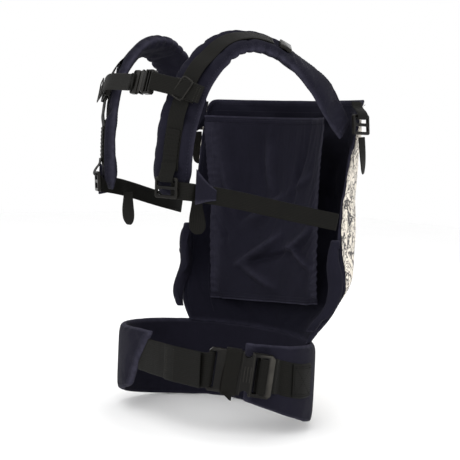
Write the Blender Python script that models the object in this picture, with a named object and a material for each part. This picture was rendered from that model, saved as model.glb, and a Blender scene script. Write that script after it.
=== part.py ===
"""A structured soft baby carrier, closed as it is worn: waist belt, seat panel, two shoulder straps
and the chest strap across the wearer's back.

Frame: origin at the centre of the waist loop, +Z up, the wearer faces -Y and the wearer's right is -X.
Lengths in metres.
"""
import math

import bmesh
import bpy
from mathutils import Matrix, Vector

GAP = 0.0003                # clearance kept between neighbouring pieces

# Waist loop: an ellipse about the wearer, measured to the belt's inner face
WAIST_A = 0.153             # half width across the wearer
WAIST_B = 0.112             # half depth, front to back
WAIST_Y = -0.006            # the belt sits a little ahead of the shoulders
BELT_THICKNESS = 0.014
BELT_RIGHT_END = -121.0     # degrees round the waist from the front, negative to the wearer's right
BELT_LEFT_END = 172.0
BELT_END_SLANT = 10.0       # degrees by which the left end leans, from its middle
BELT_TOP = 0.055
BELT_BOTTOM = -0.068
BELT_END_RISE_TOP = 0.012   # the pad narrows and climbs towards its ends
BELT_END_RISE_BOTTOM = 0.054
BELT_TAPER = 105.0          # degrees over which it narrows

WAIST_WEBBING = 0.050
WEBBING_THICKNESS = 0.0018
SIDE_WEBBING = 0.025

# Panel, as stations up its height:
# (height, half width, centre in Y, depth ahead of the centre, squareness, half sweep in degrees)
PANEL_STATIONS = (
    (0.058, 0.1530, -0.006, 0.112, 2.0, 60.0),
    (0.140, 0.1700, -0.088, 0.050, 2.0, 90.0),
    (0.200, 0.1640, -0.086, 0.088, 2.0, 91.0),
    (0.280, 0.1600, -0.090, 0.087, 2.0, 91.0),
    (0.407, 0.1645, -0.104, 0.060, 2.1, 90.0),
)
PANEL_CORNER_DROP = 0.052   # how far the top edge falls at the shoulder strap's corner
FABRIC = 0.0018
PANEL_PADDING = 0.0045

# Shoulder strap on the wearer's left, as (place on its centreline, direction its outer face looks)
STRAP_ROUTE = (
    ((0.160, -0.092, 0.358), (0.93, -0.30, 0.05)),
    ((0.157, -0.070, 0.385), (0.92, -0.25, 0.25)),
    ((0.150, -0.046, 0.418), (0.84, -0.20, 0.45)),
    ((0.135, -0.012, 0.450), (0.60, -0.20, 0.78)),
    ((0.120, 0.020, 0.468), (0.44, 0.00, 0.90)),
    ((0.105, 0.052, 0.473), (0.40, 0.15, 0.90)),
    ((0.096, 0.086, 0.461), (0.42, 0.45, 0.78)),
    ((0.088, 0.121, 0.420), (0.44, 0.75, 0.45)),
    ((0.080, 0.138, 0.368), (0.45, 0.87, 0.15)),
    ((0.075, 0.143, 0.318), (0.45, 0.89, 0.00)),
    ((0.072, 0.141, 0.262), (0.45, 0.89, -0.05)),
)
STRAP_WIDTH = 0.058
STRAP_THICKNESS = 0.017
STRAP_SKIN = 0.0016
RAIL_LIFT = 0.0040          # the rail webbing stands off the strap so that the slider can pass
RAIL_START = 0.40           # part of the way along the strap
RAIL_END = 0.94

RAIL_CELLS = 20
STRAP_CELLS = 30
HOOD_SLIDE_START = 0.335    # the small slide on top of the shoulder that the hood's cord runs to
HOOD_SLIDE_END = 0.375
HOOD_SLIDE_HALF_WIDTH = 0.012
HOOD_SLIDE_HEIGHT = 0.006

# Plates with two webbing slots, which tilt on the webbing sewn round their bar
LOCK_LENGTH = 0.026
LOCK_WIDTH = 0.033
LOCK_THICK = 0.0042
LOCK_BAR = 0.0042
LOCK_SIDE_WALL = 0.0035
LOCK_T = 0.957              # where the ladder lock's bar sits along the shoulder strap
LOCK_LIFT = 0.0062          # and how far it stands off the rail
CORNER_LOCK = (0.1790, -0.103, 0.381)

# Side webbing, from the shoulder strap's lower end to the panel's edge, on the wearer's left
SIDE_STRAP_T = 0.985
SIDE_STRAP_END = (0.1745, -0.072, 0.232)
SIDE_STRAP_ROUTE = ((0.1065, 0.108, 0.2655), (0.123, 0.068, 0.259), (0.150, -0.002, 0.245), SIDE_STRAP_END)
SIDE_STRAP_FACING = ((0.90, 0.44, 0.0), (0.92, 0.38, 0.0), (0.93, 0.36, 0.0), (0.95, 0.30, 0.0))
TAB_START = 0.24            # part of the side webbing that the tapered navy tab covers
TAB_END = 0.46
TAB_CLEAR = 0.0032
TAB_THICKNESS = 0.0024
SIDE_TAIL_TOP = (0.080, 0.104, 0.258)
SIDE_TAIL_LENGTH = 0.048
SIDE_TAIL_WIDTH = 0.024
SIDE_TAIL_FACING = Vector((-0.45, 0.89, 0.0))
CORNER_TAIL_LENGTH = 0.052
CORNER_TAIL_WIDTH = 0.020

# Chest strap, on sliders that run along the rails
CHEST_T = 0.74              # where the sliders sit along the shoulder strap
CHEST_LIFT = 0.0066         # its webbing above the rail
CHEST_BUCKLE_X = -0.036
CHEST_BUCKLE_Y = 0.170
CHEST_BUCKLE_RISE = 0.008
CHEST_BUCKLE_LENGTH = 0.046
CHEST_BUCKLE_WIDTH = 0.033
CHEST_BUCKLE_THICK = 0.008
SLIDER_HALF_LENGTH = 0.013
SLIDER_WALL = 0.0012
SLIDER_PLAY = 0.0012        # room above and below the rail webbing
SLIDER_SIDE_PLAY = 0.003

# Waist buckle
BUCKLE_ANGLE = -123.0       # degrees round the waist from the front
BUCKLE_LENGTH = 0.090
BUCKLE_WIDTH = 0.059
BUCKLE_THICK = 0.012
BUCKLE_SLOPE = 0.10         # rise of the webbing line along the buckle
BUCKLE_HEIGHT = 0.028
BUCKLE_LIFT = 0.0235        # middle of the buckle from the waist ellipse
BELT_CELLS = 44
KEEPER_START = 0.0225       # elastic keeper round the buckle's joint, from its middle towards the male end
KEEPER_LENGTH = 0.021
KEEPER_WALL = 0.0014
WEBBING_RIGHT = (-70.0, -103.5)     # degrees round the waist where the webbings start and end
WEBBING_LEFT = (169.0, 220.7)
WEBBING_TAIL = (194.0, 218.0)
BAR_LIFT = 0.0152           # rise of the left webbing over the buckle's bar, from the buckle's middle

# Padding on the panel's two long edges, under the child's thighs
LEG_PAD_LOW = 0.06          # part of the panel's height where the leg padding starts and ends
LEG_PAD_HIGH = 0.50
LEG_PAD_REACH = 0.020       # how far it stands past the panel's edge
LEG_PAD_THICKNESS = 0.020
LEG_PAD_CLEAR = 0.0038
LEG_PAD_SHIFT = 0.0085      # and outwards from the wearer at its lower end, falling away up the edge

# Hood, hanging inside the panel
HOOD_TOP = 0.378
HOOD_BOTTOM = 0.098
HOOD_HALF_WIDTH = 0.124
HOOD_TOP_HALF_WIDTH = 0.138
HOOD_THICKNESS = 0.003
HOOD_EDGE_DEPTH = -0.094
HOOD_TOP_EDGE_DEPTH = -0.076
HOOD_BOTTOM_DEPTH = -0.106
HOOD_TOP_DEPTH = -0.132
HOOD_TILT = 0.010           # its lower edge hangs this much lower at the left, and higher at the right

# Thin cord loop on the panel's left edge
TOY_LOOP_CENTRE = Vector((0.1828, -0.082, 0.155))
TOY_LOOP_RADII = (0.006, 0.003, 0.007)
TOY_LOOP_CORD = 0.0011

SIDES = (("right", -1), ("left", 1))

NAVY = (0.011, 0.013, 0.035)
BLACK = (0.010, 0.010, 0.011)
PLASTIC = (0.015, 0.014, 0.014)
CREAM = (0.72, 0.66, 0.54)
FOAM = (0.55, 0.55, 0.56)


def clear_scene():
    for obj in list(bpy.data.objects):
        bpy.data.objects.remove(obj, do_unlink=True)


def finish(name, colour, roughness):
    found = bpy.data.materials.get(name)
    if found:
        return found
    made = bpy.data.materials.new(name)
    made.use_nodes = True
    shader = made.node_tree.nodes["Principled BSDF"]
    shader.inputs["Base Color"].default_value = (*colour, 1.0)
    shader.inputs["Roughness"].default_value = roughness
    shader.inputs["Metallic"].default_value = 0.0
    return made


MATERIALS = {
    "navy_canvas": (NAVY, 0.85),
    "cream_print": (CREAM, 0.80),
    "black_webbing": (BLACK, 0.75),
    "black_plastic": (PLASTIC, 0.40),
    "foam": (FOAM, 0.90),
}


def add_object(name, mesh, material, smooth=True, matrix=None):
    colour, roughness = MATERIALS[material]
    mesh.materials.append(finish(material, colour, roughness))
    if smooth:
        mesh.shade_smooth()
        mesh.set_sharp_from_angle(angle=math.radians(35))
    obj = bpy.data.objects.new(name, mesh)
    bpy.context.collection.objects.link(obj)
    if matrix is not None:
        obj.matrix_world = matrix
    return obj


def mesh_from(name, points, faces):
    work = bmesh.new()
    verts = [work.verts.new(point) for point in points]
    for face in faces:
        work.faces.new([verts[i] for i in face])
    bmesh.ops.recalc_face_normals(work, faces=work.faces)
    mesh = bpy.data.meshes.new(name)
    work.to_mesh(mesh)
    work.free()
    return mesh


def slab(name, place, low, high, along, across, material):
    """A closed sheet of a curved surface: place(u, v, lift) for u and v from 0 to 1, between two lifts."""
    points = []
    for lift in (low, high):
        for i in range(along + 1):
            for j in range(across + 1):
                points.append(place(i / along, j / across, lift))
    row = across + 1
    layer = row * (along + 1)
    faces = []
    for i in range(along):
        for j in range(across):
            a = i * row + j
            faces.append((a, a + 1, a + 1 + row, a + row))
            faces.append((a + layer, a + row + layer, a + 1 + row + layer, a + 1 + layer))
    edge = [j for j in range(row)]
    edge += [i * row + across for i in range(1, along + 1)]
    edge += [along * row + j for j in range(across - 1, -1, -1)]
    edge += [i * row for i in range(along - 1, 0, -1)]
    for k, a in enumerate(edge):
        b = edge[(k + 1) % len(edge)]
        faces.append((a, b, b + layer, a + layer))
    return add_object(name, mesh_from(name, points, faces), material)


def spline(values, t):
    """Catmull-Rom through a list of tuples or Vectors, t from 0 to 1."""
    count = len(values) - 1
    place = min(max(t, 0.0), 1.0) * count
    i = min(int(place), count - 1)
    f = place - i
    p1 = Vector(values[i])
    p2 = Vector(values[i + 1])
    p0 = Vector(values[i - 1]) if i > 0 else 2 * p1 - p2
    p3 = Vector(values[i + 2]) if i + 2 <= count else 2 * p2 - p1
    return 0.5 * (2 * p1 + (p2 - p0) * f + (2 * p0 - 5 * p1 + 4 * p2 - p3) * f * f
                  + (3 * p1 - p0 - 3 * p2 + p3) * f ** 3)


def mix(a, b, t):
    return a + (b - a) * t


def smooth(t):
    t = min(max(t, 0.0), 1.0)
    return t * t * (3 - 2 * t)


# ---------------------------------------------------------------- waist belt

def belt_edges(angle):
    """The pad's bottom and top height at an angle in degrees: it narrows and climbs towards each end."""
    from_end = min(angle - BELT_RIGHT_END, BELT_LEFT_END - angle)
    full = math.sin(0.5 * math.pi * min(max(from_end, 0.0) / BELT_TAPER, 1.0))
    bottom = BELT_BOTTOM + BELT_END_RISE_BOTTOM * (1 - full)
    top = BELT_TOP + BELT_END_RISE_TOP * (1 - full)
    return bottom, top


def waist_point(angle, height, lift):
    t = math.radians(angle)
    return Vector(((WAIST_A + lift) * math.sin(t), WAIST_Y - (WAIST_B + lift) * math.cos(t), height))


def belt_place(u, v, lift):
    angle = mix(BELT_RIGHT_END, BELT_LEFT_END, u)
    angle += BELT_END_SLANT * (2 * v - 1) * smooth((u - 0.85) / 0.15)
    bottom, top = belt_edges(min(angle, BELT_LEFT_END))
    return waist_point(angle, mix(bottom, top, v), lift)


def webbing_middle(angle):
    """Height of the 50 mm webbing's middle: level at the sides, a little higher at the back."""
    if angle < 0:
        angle += 360.0
    return 0.030 - 0.020 * smooth((angle - 235.0) / 50.0)


def waist_webbing(name, start, end, lifts, sag=0.0, slant=0.0, cells=14):
    """50 mm webbing round the waist. lifts are at its two ends, sag is how far its middle is pulled in."""
    def place(u, v, lift):
        angle = mix(start + slant * v * (1 - u), end, u)
        base = mix(lifts[0], lifts[1], u) - sag * 4 * u * (1 - u)
        return waist_point(angle, webbing_middle(angle) + (v - 0.5) * WAIST_WEBBING, base + lift)
    return slab(name, place, 0.0, WEBBING_THICKNESS, cells, 2, "black_webbing")


def make_belt():
    skin = FABRIC
    inner = BELT_THICKNESS - skin
    slab("belt_lining", belt_place, 0.0, skin, BELT_CELLS, 2, "navy_canvas")
    slab("belt_foam", belt_place, skin + GAP, inner - GAP, BELT_CELLS, 2, "foam")
    slab("belt_cover", belt_place, inner, BELT_THICKNESS, BELT_CELLS, 2, "navy_canvas")


# ---------------------------------------------------------------- side-release buckles

def plate(points, low, high):
    """A closed prism over an outline in local X and Y."""
    count = len(points)
    corners = [Vector((x, y, low)) for x, y in points] + [Vector((x, y, high)) for x, y in points]
    faces = [tuple(range(count)), tuple(range(2 * count - 1, count - 1, -1))]
    for i in range(count):
        j = (i + 1) % count
        faces.append((i, j, j + count, i + count))
    return corners, faces


def rectangle(x0, x1, y0, y1, corner):
    """An outline with cut corners."""
    return [
        (x0 + corner, y0), (x1 - corner, y0), (x1, y0 + corner), (x1, y1 - corner),
        (x1 - corner, y1), (x0 + corner, y1), (x0, y1 - corner), (x0, y0 + corner),
    ]


def box_mesh(name, x0, x1, y0, y1, z0, z1, corner):
    points, faces = plate(rectangle(x0, x1, y0, y1, corner), z0, z1)
    return mesh_from(name, points, faces)


def cut(obj, mesh):
    """Cuts a mesh out of an object in the object's own frame."""
    cutter = bpy.data.objects.new(obj.name + "_cutter", mesh)
    bpy.context.collection.objects.link(cutter)
    cutter.matrix_world = obj.matrix_world
    cutter.hide_render = True
    cutter.display_type = "WIRE"
    modifier = obj.modifiers.new("cut", "BOOLEAN")
    modifier.operation = "DIFFERENCE"
    modifier.solver = "EXACT"
    modifier.object = cutter


def make_buckle(prefix, matrix, length, width, thick, slot, arm):
    """A side-release buckle along local X: female end at +X, male end at -X, both made for one webbing.

    slot is the width of each webbing slot along X, arm the prong's half distance from the middle.
    """
    half = length / 2
    bar = 0.10 * length / 2
    mouth = -0.18 * half
    female_end = half
    wall = 0.16 * thick
    throat = 0.42 * half

    face = thick / 2
    band = 0.09 * thick
    band_start = 0.03 * half
    band_end = throat - 0.3 * bar
    body = box_mesh(prefix + "_female", mouth, female_end, -width / 2, width / 2, -face, face + band, bar)
    female = add_object(prefix + "_buckle_female", body, "black_plastic", matrix=matrix)
    for start, end in ((mouth - bar, band_start), (band_end, female_end + bar)):
        cut(female, box_mesh("step", start, end, -width, width, face, face + 2 * band, bar / 4))
    cut(female, box_mesh("cavity", mouth - bar, throat - bar, -arm - bar, arm + bar,
                         -thick / 2 + wall, thick / 2 - wall, bar / 2))
    cut(female, box_mesh("window", mouth + 0.16 * half, throat - 1.4 * bar, -width, width,
                         -thick / 2 + wall, thick / 2 - wall, bar / 2))
    grip = 0.06 * width
    scallop_start = mouth + 0.24 * half
    scallop_end = throat - 1.1 * bar
    for inner, outer in ((width / 2 - 2 * grip, width), (-width, 2 * grip - width / 2)):
        cut(female, box_mesh("scallop", scallop_start, scallop_end, inner, outer, -thick, thick, grip))
    slot_half = width / 2 - bar
    for start in (throat, throat + slot + 0.9 * bar):
        cut(female, box_mesh("slot", start, start + slot, -slot_half, slot_half, -thick, thick, bar / 4))

    male_end = -half
    shoulder = mouth - 0.20 * half
    male_half = 0.36 * thick
    body = box_mesh(prefix + "_male", male_end, shoulder, -width / 2, width / 2, -male_half, male_half, bar)
    male = add_object(prefix + "_buckle_male", body, "black_plastic", matrix=matrix)
    slot_start = male_end + bar
    cut(male, box_mesh("slot", slot_start, slot_start + slot, -slot_half, slot_half, -thick, thick, bar / 4))
    tongue_half = 0.16 * thick
    tongue_end = throat - 2.2 * bar
    reach = 0.3 * arm
    tongue = box_mesh("tongue", shoulder + GAP, tongue_end, -reach, reach, -tongue_half, tongue_half, bar / 3)
    add_object(prefix + "_buckle_tongue", tongue, "black_plastic", matrix=matrix)

    for side, end in ((1, "upper"), (-1, "lower")):
        root_x = shoulder + 2 * GAP
        tip = tongue_end - root_x
        beam = 0.055 * width
        outline = [
            (0.0, -beam), (tip - 3.2 * bar, 0.2 * beam), (tip, 0.4 * beam), (tip, 1.4 * beam),
            (tip - 1.2 * bar, 3.0 * beam), (tip - 3.0 * bar, 3.2 * beam), (tip - 4.0 * bar, 1.9 * beam),
            (0.0, beam),
        ]
        outline = [(x, y * side) for x, y in outline]
        points, faces = plate(outline, -0.24 * thick, 0.24 * thick)
        place = matrix @ Matrix.Translation((root_x, side * 0.62 * arm, 0.0))
        add_object(prefix + "_buckle_prong_" + end, mesh_from("prong", points, faces),
                   "black_plastic", matrix=place)


def frame_at(place, along, outward):
    """Local X along, Z outward."""
    z = outward.normalized()
    x = (along - along.dot(z) * z).normalized()
    y = z.cross(x)
    turn = Matrix((x, y, z)).transposed().to_4x4()
    return Matrix.Translation(place) @ turn


def make_waist_closure():
    t = math.radians(BUCKLE_ANGLE)
    outward = Vector((math.sin(t) / WAIST_A, -math.cos(t) / WAIST_B, 0.0)).normalized()
    along = Vector((-outward.y, outward.x, BUCKLE_SLOPE))
    along = -along if along.dot(Vector((-1, -1, 0))) < 0 else along
    if along.z > 0:
        along.z = -along.z
    centre = waist_point(BUCKLE_ANGLE, BUCKLE_HEIGHT, 0.0) + outward * BUCKLE_LIFT
    matrix = frame_at(centre, along, outward)
    make_buckle("waist", matrix, BUCKLE_LENGTH, BUCKLE_WIDTH, BUCKLE_THICK, 0.0065, 0.021)

    on_pad = BELT_THICKNESS + GAP
    at_bar = BUCKLE_LIFT + BAR_LIFT
    waist_webbing("waist_webbing_right", *WEBBING_RIGHT, (on_pad, on_pad))
    waist_webbing("waist_webbing_left", *WEBBING_LEFT, (0.006, at_bar), sag=0.009, slant=12.0)
    fold = 2.0 * WEBBING_THICKNESS
    waist_webbing("waist_webbing_tail", *WEBBING_TAIL, (0.0125 + fold, at_bar + GAP), sag=0.002, cells=8)

    start = -KEEPER_START
    end = start + KEEPER_LENGTH
    reach = BUCKLE_WIDTH / 2 + 0.0015
    rise = BUCKLE_THICK / 2 + 0.0012
    wide = reach + KEEPER_WALL
    high = rise + KEEPER_WALL
    body = box_mesh("keeper", start, end, -wide, wide, -high, high, 0.0004)
    keeper = add_object("waist_buckle_keeper", body, "black_webbing", matrix=matrix)
    cut(keeper, box_mesh("sleeve", start - 0.01, end + 0.01, -reach, reach, -rise, rise, 0.0004))


# ---------------------------------------------------------------- panel

def panel_place(u, v, lift):
    """u from 0 at the right edge to 1 at the left edge, v from 0 at the belt to 1 at the top edge."""
    _, half_width, middle, depth, square, sweep = panel_station(v)
    side = 2 * u - 1
    angle = math.radians(sweep * side)
    sine = math.sin(angle)
    cosine = math.cos(angle)
    power = 2.0 / square
    x = (half_width + lift) * math.copysign(abs(sine) ** power, sine)
    y = middle - (depth + lift) * math.copysign(abs(cosine) ** power, cosine)
    belt_top = belt_edges(side * PANEL_STATIONS[0][5])[1] + GAP
    top = PANEL_STATIONS[-1][0] - PANEL_CORNER_DROP * abs(side) ** 22
    return Vector((x, y, mix(belt_top, top, v)))


def panel_station(v):
    """The panel's section at a fraction of its height, smooth through the stations."""
    low = PANEL_STATIONS[0][0]
    high = PANEL_STATIONS[-1][0]
    height = mix(low, high, v)
    count = len(PANEL_STATIONS)
    for i in range(count - 1):
        if height <= PANEL_STATIONS[i + 1][0] + 1e-9:
            span = PANEL_STATIONS[i + 1][0] - PANEL_STATIONS[i][0]
            f = (height - PANEL_STATIONS[i][0]) / span
            break
    values = []
    for k in range(len(PANEL_STATIONS[0])):
        p1 = PANEL_STATIONS[i][k]
        p2 = PANEL_STATIONS[i + 1][k]
        p0 = PANEL_STATIONS[i - 1][k] if i > 0 else 2 * p1 - p2
        p3 = PANEL_STATIONS[i + 2][k] if i + 2 < count else 2 * p2 - p1
        values.append(0.5 * (2 * p1 + (p2 - p0) * f + (2 * p0 - 5 * p1 + 4 * p2 - p3) * f * f
                             + (3 * p1 - p0 - 3 * p2 + p3) * f ** 3))
    return values


def make_panel():
    lining_top = FABRIC
    padding_top = lining_top + GAP + PANEL_PADDING
    slab("panel_lining", panel_place, 0.0, lining_top, 28, 9, "navy_canvas")
    slab("panel_padding", panel_place, lining_top + GAP, padding_top, 28, 9, "foam")
    slab("panel_print", panel_place, padding_top + GAP, padding_top + GAP + FABRIC, 28, 9, "cream_print")


def make_leg_pads():
    for name, edge, outward in (("leg_pad_right", 0.0, -1), ("leg_pad_left", 1.0, 1)):
        rings = []
        steps = 12
        for i in range(steps + 1):
            t = i / steps
            v = mix(LEG_PAD_LOW, LEG_PAD_HIGH, t)
            inner = panel_place(edge, v, 0.0)
            outer = panel_place(edge, v, 2 * FABRIC + 2 * GAP + PANEL_PADDING)
            middle = (inner + outer) / 2
            inward = panel_place(abs(edge - 0.03), v, 0.0)
            across = (inner - inward)
            across.z = 0.0
            across.normalize()
            face = Vector((-across.y, across.x, 0.0)) * outward
            full = 0.30 + 0.70 * max(math.sin(math.pi * t), 0.0) ** 0.5
            reach = LEG_PAD_REACH * full
            half = 0.5 * LEG_PAD_THICKNESS * (0.45 + 0.55 * full)
            start = middle + across * LEG_PAD_CLEAR + face * (LEG_PAD_SHIFT * (1 - t))
            ring = []
            for k in range(8):
                a = 2 * math.pi * k / 8
                ring.append(start + across * (reach / 2 * (1 - math.cos(a))) + face * (half * math.sin(a)))
            rings.append(ring)
        add_object(name, ring_mesh(name, rings), "navy_canvas")


def ring_mesh(name, rings):
    """A closed body through rings of the same number of points, with flat caps."""
    count = len(rings[0])
    points = [point for ring in rings for point in ring]
    faces = [tuple(range(count)), tuple(range(len(points) - 1, len(points) - count - 1, -1))]
    for r in range(len(rings) - 1):
        for k in range(count):
            a = r * count + k
            b = r * count + (k + 1) % count
            faces.append((a, b, b + count, a + count))
    return mesh_from(name, points, faces)


def hood_place(u, v, lift):
    """The hood hangs inside the panel from its top edge, in a shallow curve nearer the wearer."""
    side = 2 * u - 1
    x = mix(HOOD_HALF_WIDTH, HOOD_TOP_HALF_WIDTH, smooth(v * 2 - 1)) * side
    middle = mix(HOOD_BOTTOM_DEPTH, HOOD_TOP_DEPTH, v)
    y = mix(middle, mix(HOOD_EDGE_DEPTH, HOOD_TOP_EDGE_DEPTH, v), abs(side) ** 2.2) - lift
    return Vector((x, y, mix(HOOD_BOTTOM - HOOD_TILT * side, HOOD_TOP, v)))


def make_hood():
    slab("hood", hood_place, -HOOD_THICKNESS, 0.0, 14, 8, "navy_canvas")


# ---------------------------------------------------------------- shoulder straps

def strap_frame(side, t):
    """Place, direction along, direction across and outward normal of a strap at t; side is -1 for right."""
    places = [place for place, _ in STRAP_ROUTE]
    normals = [normal for _, normal in STRAP_ROUTE]
    step = 0.005
    place = spline(places, t)
    along = (spline(places, min(t + step, 1.0)) - spline(places, max(t - step, 0.0))).normalized()
    normal = spline(normals, t)
    normal = (normal - normal.dot(along) * along).normalized()
    across = along.cross(normal)
    for vector in (place, along, across, normal):
        vector.x *= side
    return place, along, across, normal


def strap_half_width(t):
    """Narrow at the panel's corner, full over the shoulder, rounded at the lower end."""
    start = smooth(t / 0.16)
    end = math.sqrt(max(1 - max((t - 0.93) / 0.07, 0.0) ** 2 * 0.75, 0.0))
    return 0.5 * STRAP_WIDTH * mix(0.62, 1.0, start) * end


def strap_surface(side, t0, t1, half_width):
    def place(u, v, lift):
        t = mix(t0, t1, u)
        point, _, across, normal = strap_frame(side, t)
        half = half_width(t) if callable(half_width) else half_width
        return point + across * ((2 * v - 1) * half) + normal * (lift - STRAP_THICKNESS / 2)
    return place


def make_strap(name, side):
    body = strap_surface(side, 0.0, 1.0, strap_half_width)
    inner = STRAP_THICKNESS - STRAP_SKIN
    slab("strap_lining_" + name, body, 0.0, STRAP_SKIN, STRAP_CELLS, 2, "navy_canvas")
    slab("strap_foam_" + name, body, STRAP_SKIN + GAP, inner - GAP, STRAP_CELLS, 2, "foam")
    slab("strap_cover_" + name, body, inner, STRAP_THICKNESS, STRAP_CELLS, 2, "navy_canvas")
    rail = strap_surface(side, RAIL_START, RAIL_END, SIDE_WEBBING / 2)
    low = STRAP_THICKNESS + RAIL_LIFT
    slab("rail_webbing_" + name, rail, low, low + WEBBING_THICKNESS, RAIL_CELLS, 1, "black_webbing")
    slide = strap_surface(side, HOOD_SLIDE_START, HOOD_SLIDE_END, HOOD_SLIDE_HALF_WIDTH)
    slide_top = STRAP_THICKNESS + HOOD_SLIDE_HEIGHT
    slab("hood_slide_" + name, slide, STRAP_THICKNESS + GAP, slide_top, 2, 2, "black_plastic")


def ribbon(name, places, normals, width, cells, material="black_webbing", round_end=False):
    """A flat strap through points, its faces looking along the normals."""
    def place(u, v, lift):
        point = spline(places, u)
        along = (spline(places, min(u + 0.02, 1.0)) - spline(places, max(u - 0.02, 0.0))).normalized()
        normal = spline(normals, u)
        normal = (normal - normal.dot(along) * along).normalized()
        across = along.cross(normal)
        size = width
        if round_end:
            size *= math.sqrt(max(1 - max((u - 0.80) / 0.20, 0.0) ** 2 * 0.8, 0.05))
        return point + across * ((v - 0.5) * size) + normal * lift
    return slab(name, place, 0.0, WEBBING_THICKNESS, cells, 2, material)


def ladder_lock(name, matrix):
    """A plate with two webbing slots, its hinge bar on the local Y axis at X = 0."""
    half_width = LOCK_WIDTH / 2
    half_thick = LOCK_THICK / 2
    body = box_mesh(name, -LOCK_BAR / 2, LOCK_LENGTH, -half_width, half_width, -half_thick, half_thick, 0.002)
    lock = add_object(name, body, "black_plastic", matrix=matrix)
    slot = (LOCK_LENGTH - 2.5 * LOCK_BAR) / 2
    reach = half_width - LOCK_SIDE_WALL
    for start in (LOCK_BAR / 2, LOCK_BAR * 1.5 + slot):
        cut(lock, box_mesh("slot", start, start + slot, -reach, reach, -LOCK_THICK, LOCK_THICK, 0.0008))


def mirrored(points, side):
    return [Vector((x * side, y, z)) for x, y, z in points]


def side_strap_route(side):
    """From under the ladder lock, round the pad's arm edge and forward to the panel's edge."""
    point, _, across, normal = strap_frame(side, SIDE_STRAP_T)
    lift = normal * (STRAP_THICKNESS / 2 + 0.0040)
    start = point + lift + across * 0.004
    corner = point + lift + across * 0.031
    places = [start, corner] + mirrored(SIDE_STRAP_ROUTE, side)
    normals = [normal, normal] + mirrored(SIDE_STRAP_FACING, side)
    return places, normals


def make_side_strap(name, side):
    point, along, _, normal = strap_frame(side, LOCK_T)
    hinge = point + normal * (STRAP_THICKNESS / 2 + RAIL_LIFT + LOCK_LIFT)
    ladder_lock("ladder_lock_" + name, frame_at(hinge, along, normal))
    places, normals = side_strap_route(side)
    ribbon("side_webbing_" + name, places, normals, SIDE_WEBBING, 20)

    def tab(u, v, lift):
        along_u = mix(TAB_START, TAB_END, u)
        middle = spline(places, along_u)
        direction = (spline(places, along_u + 0.02) - spline(places, along_u - 0.02)).normalized()
        outward = spline(normals, along_u)
        outward = (outward - outward.dot(direction) * direction).normalized()
        height = mix(mix(-0.015, -0.006, u), mix(0.034, 0.008, u), v)
        return middle + Vector((0.0, 0.0, height)) + outward * (WEBBING_THICKNESS + TAB_CLEAR + lift)
    slab("strap_tab_" + name, tab, 0.0, TAB_THICKNESS, 6, 2, "navy_canvas")

    top = mirrored([SIDE_TAIL_TOP], side)[0]
    halfway = top + Vector((0.0, -0.001, -SIDE_TAIL_LENGTH / 2))
    end = top + Vector((0.0, -0.004, -SIDE_TAIL_LENGTH))
    facing = [SIDE_TAIL_FACING] * 3
    ribbon("side_tail_" + name, [top, halfway, end], facing, SIDE_TAIL_WIDTH, 6, round_end=True)


def make_corner_adjuster(name, side):
    place = mirrored([CORNER_LOCK], side)[0]
    outward = Vector((1.0 * side, -0.04, 0.10))
    along = Vector((0.0, 0.0, -1.0))
    ladder_lock("corner_lock_" + name, frame_at(place, along, outward))
    start = place + Vector((0.002 * side, -0.001, -LOCK_LENGTH - 0.003))
    halfway = start + Vector((0.002 * side, -0.002, -CORNER_TAIL_LENGTH / 2))
    end = start + Vector((0.001 * side, -0.006, -CORNER_TAIL_LENGTH))
    ribbon("corner_tail_" + name, [start, halfway, end], [outward] * 3, CORNER_TAIL_WIDTH, 6, round_end=True)


# ---------------------------------------------------------------- chest strap

def slider_place(side):
    point, along, across, normal = strap_frame(side, CHEST_T)
    lift = STRAP_THICKNESS / 2 + RAIL_LIFT
    return point + normal * lift, along, normal


def make_slider(name, side):
    """A flat tube round the rail webbing."""
    place, along, normal = slider_place(side)
    matrix = frame_at(place, along, normal)
    end = SLIDER_HALF_LENGTH
    inner = SIDE_WEBBING / 2 + SLIDER_SIDE_PLAY
    outer = inner + SLIDER_WALL
    below = -SLIDER_PLAY
    above = WEBBING_THICKNESS + SLIDER_PLAY
    body = box_mesh("slider", -end, end, -outer, outer, below - SLIDER_WALL, above + SLIDER_WALL, 0.0006)
    slider = add_object("chest_slider_" + name, body, "black_plastic", matrix=matrix)
    cut(slider, box_mesh("rail", -2 * end, 2 * end, -inner, inner, below, above, 0.0003))


def make_chest_strap():
    """The webbing runs from the buckle across each strap, over its slider, to the pad's arm side."""
    lift = STRAP_THICKNESS / 2 + RAIL_LIFT + CHEST_LIFT
    spine_edge = -0.036
    arm_edge = 0.029
    crossings = {}
    for name, side in SIDES:
        make_slider(name, side)
        point, _, across, normal = strap_frame(side, CHEST_T)
        crossings[side] = [(point + across * shift + normal * lift) for shift in (spine_edge, 0.0, arm_edge)]
    height = crossings[1][1].z + CHEST_BUCKLE_RISE
    middle = Vector((CHEST_BUCKLE_X, CHEST_BUCKLE_Y, height))
    outward = Vector((0.0, 0.97, 0.24))
    matrix = frame_at(middle, Vector((-1.0, 0.0, 0.0)), outward)
    make_buckle("chest", matrix, CHEST_BUCKLE_LENGTH, CHEST_BUCKLE_WIDTH, CHEST_BUCKLE_THICK, 0.0034, 0.0105)
    half = CHEST_BUCKLE_LENGTH / 2 + 0.001
    for name, side in SIDES:
        _, _, _, normal = strap_frame(side, CHEST_T)
        start = Vector((CHEST_BUCKLE_X + half * side, CHEST_BUCKLE_Y - 0.001, height))
        crossing = crossings[side] if side > 0 else crossings[side][1:]
        places = [start] + crossing
        normals = [outward] + [normal] * len(crossing)
        ribbon("chest_webbing_" + name, places, normals, SIDE_WEBBING, 12)


# ---------------------------------------------------------------- small pieces

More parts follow.
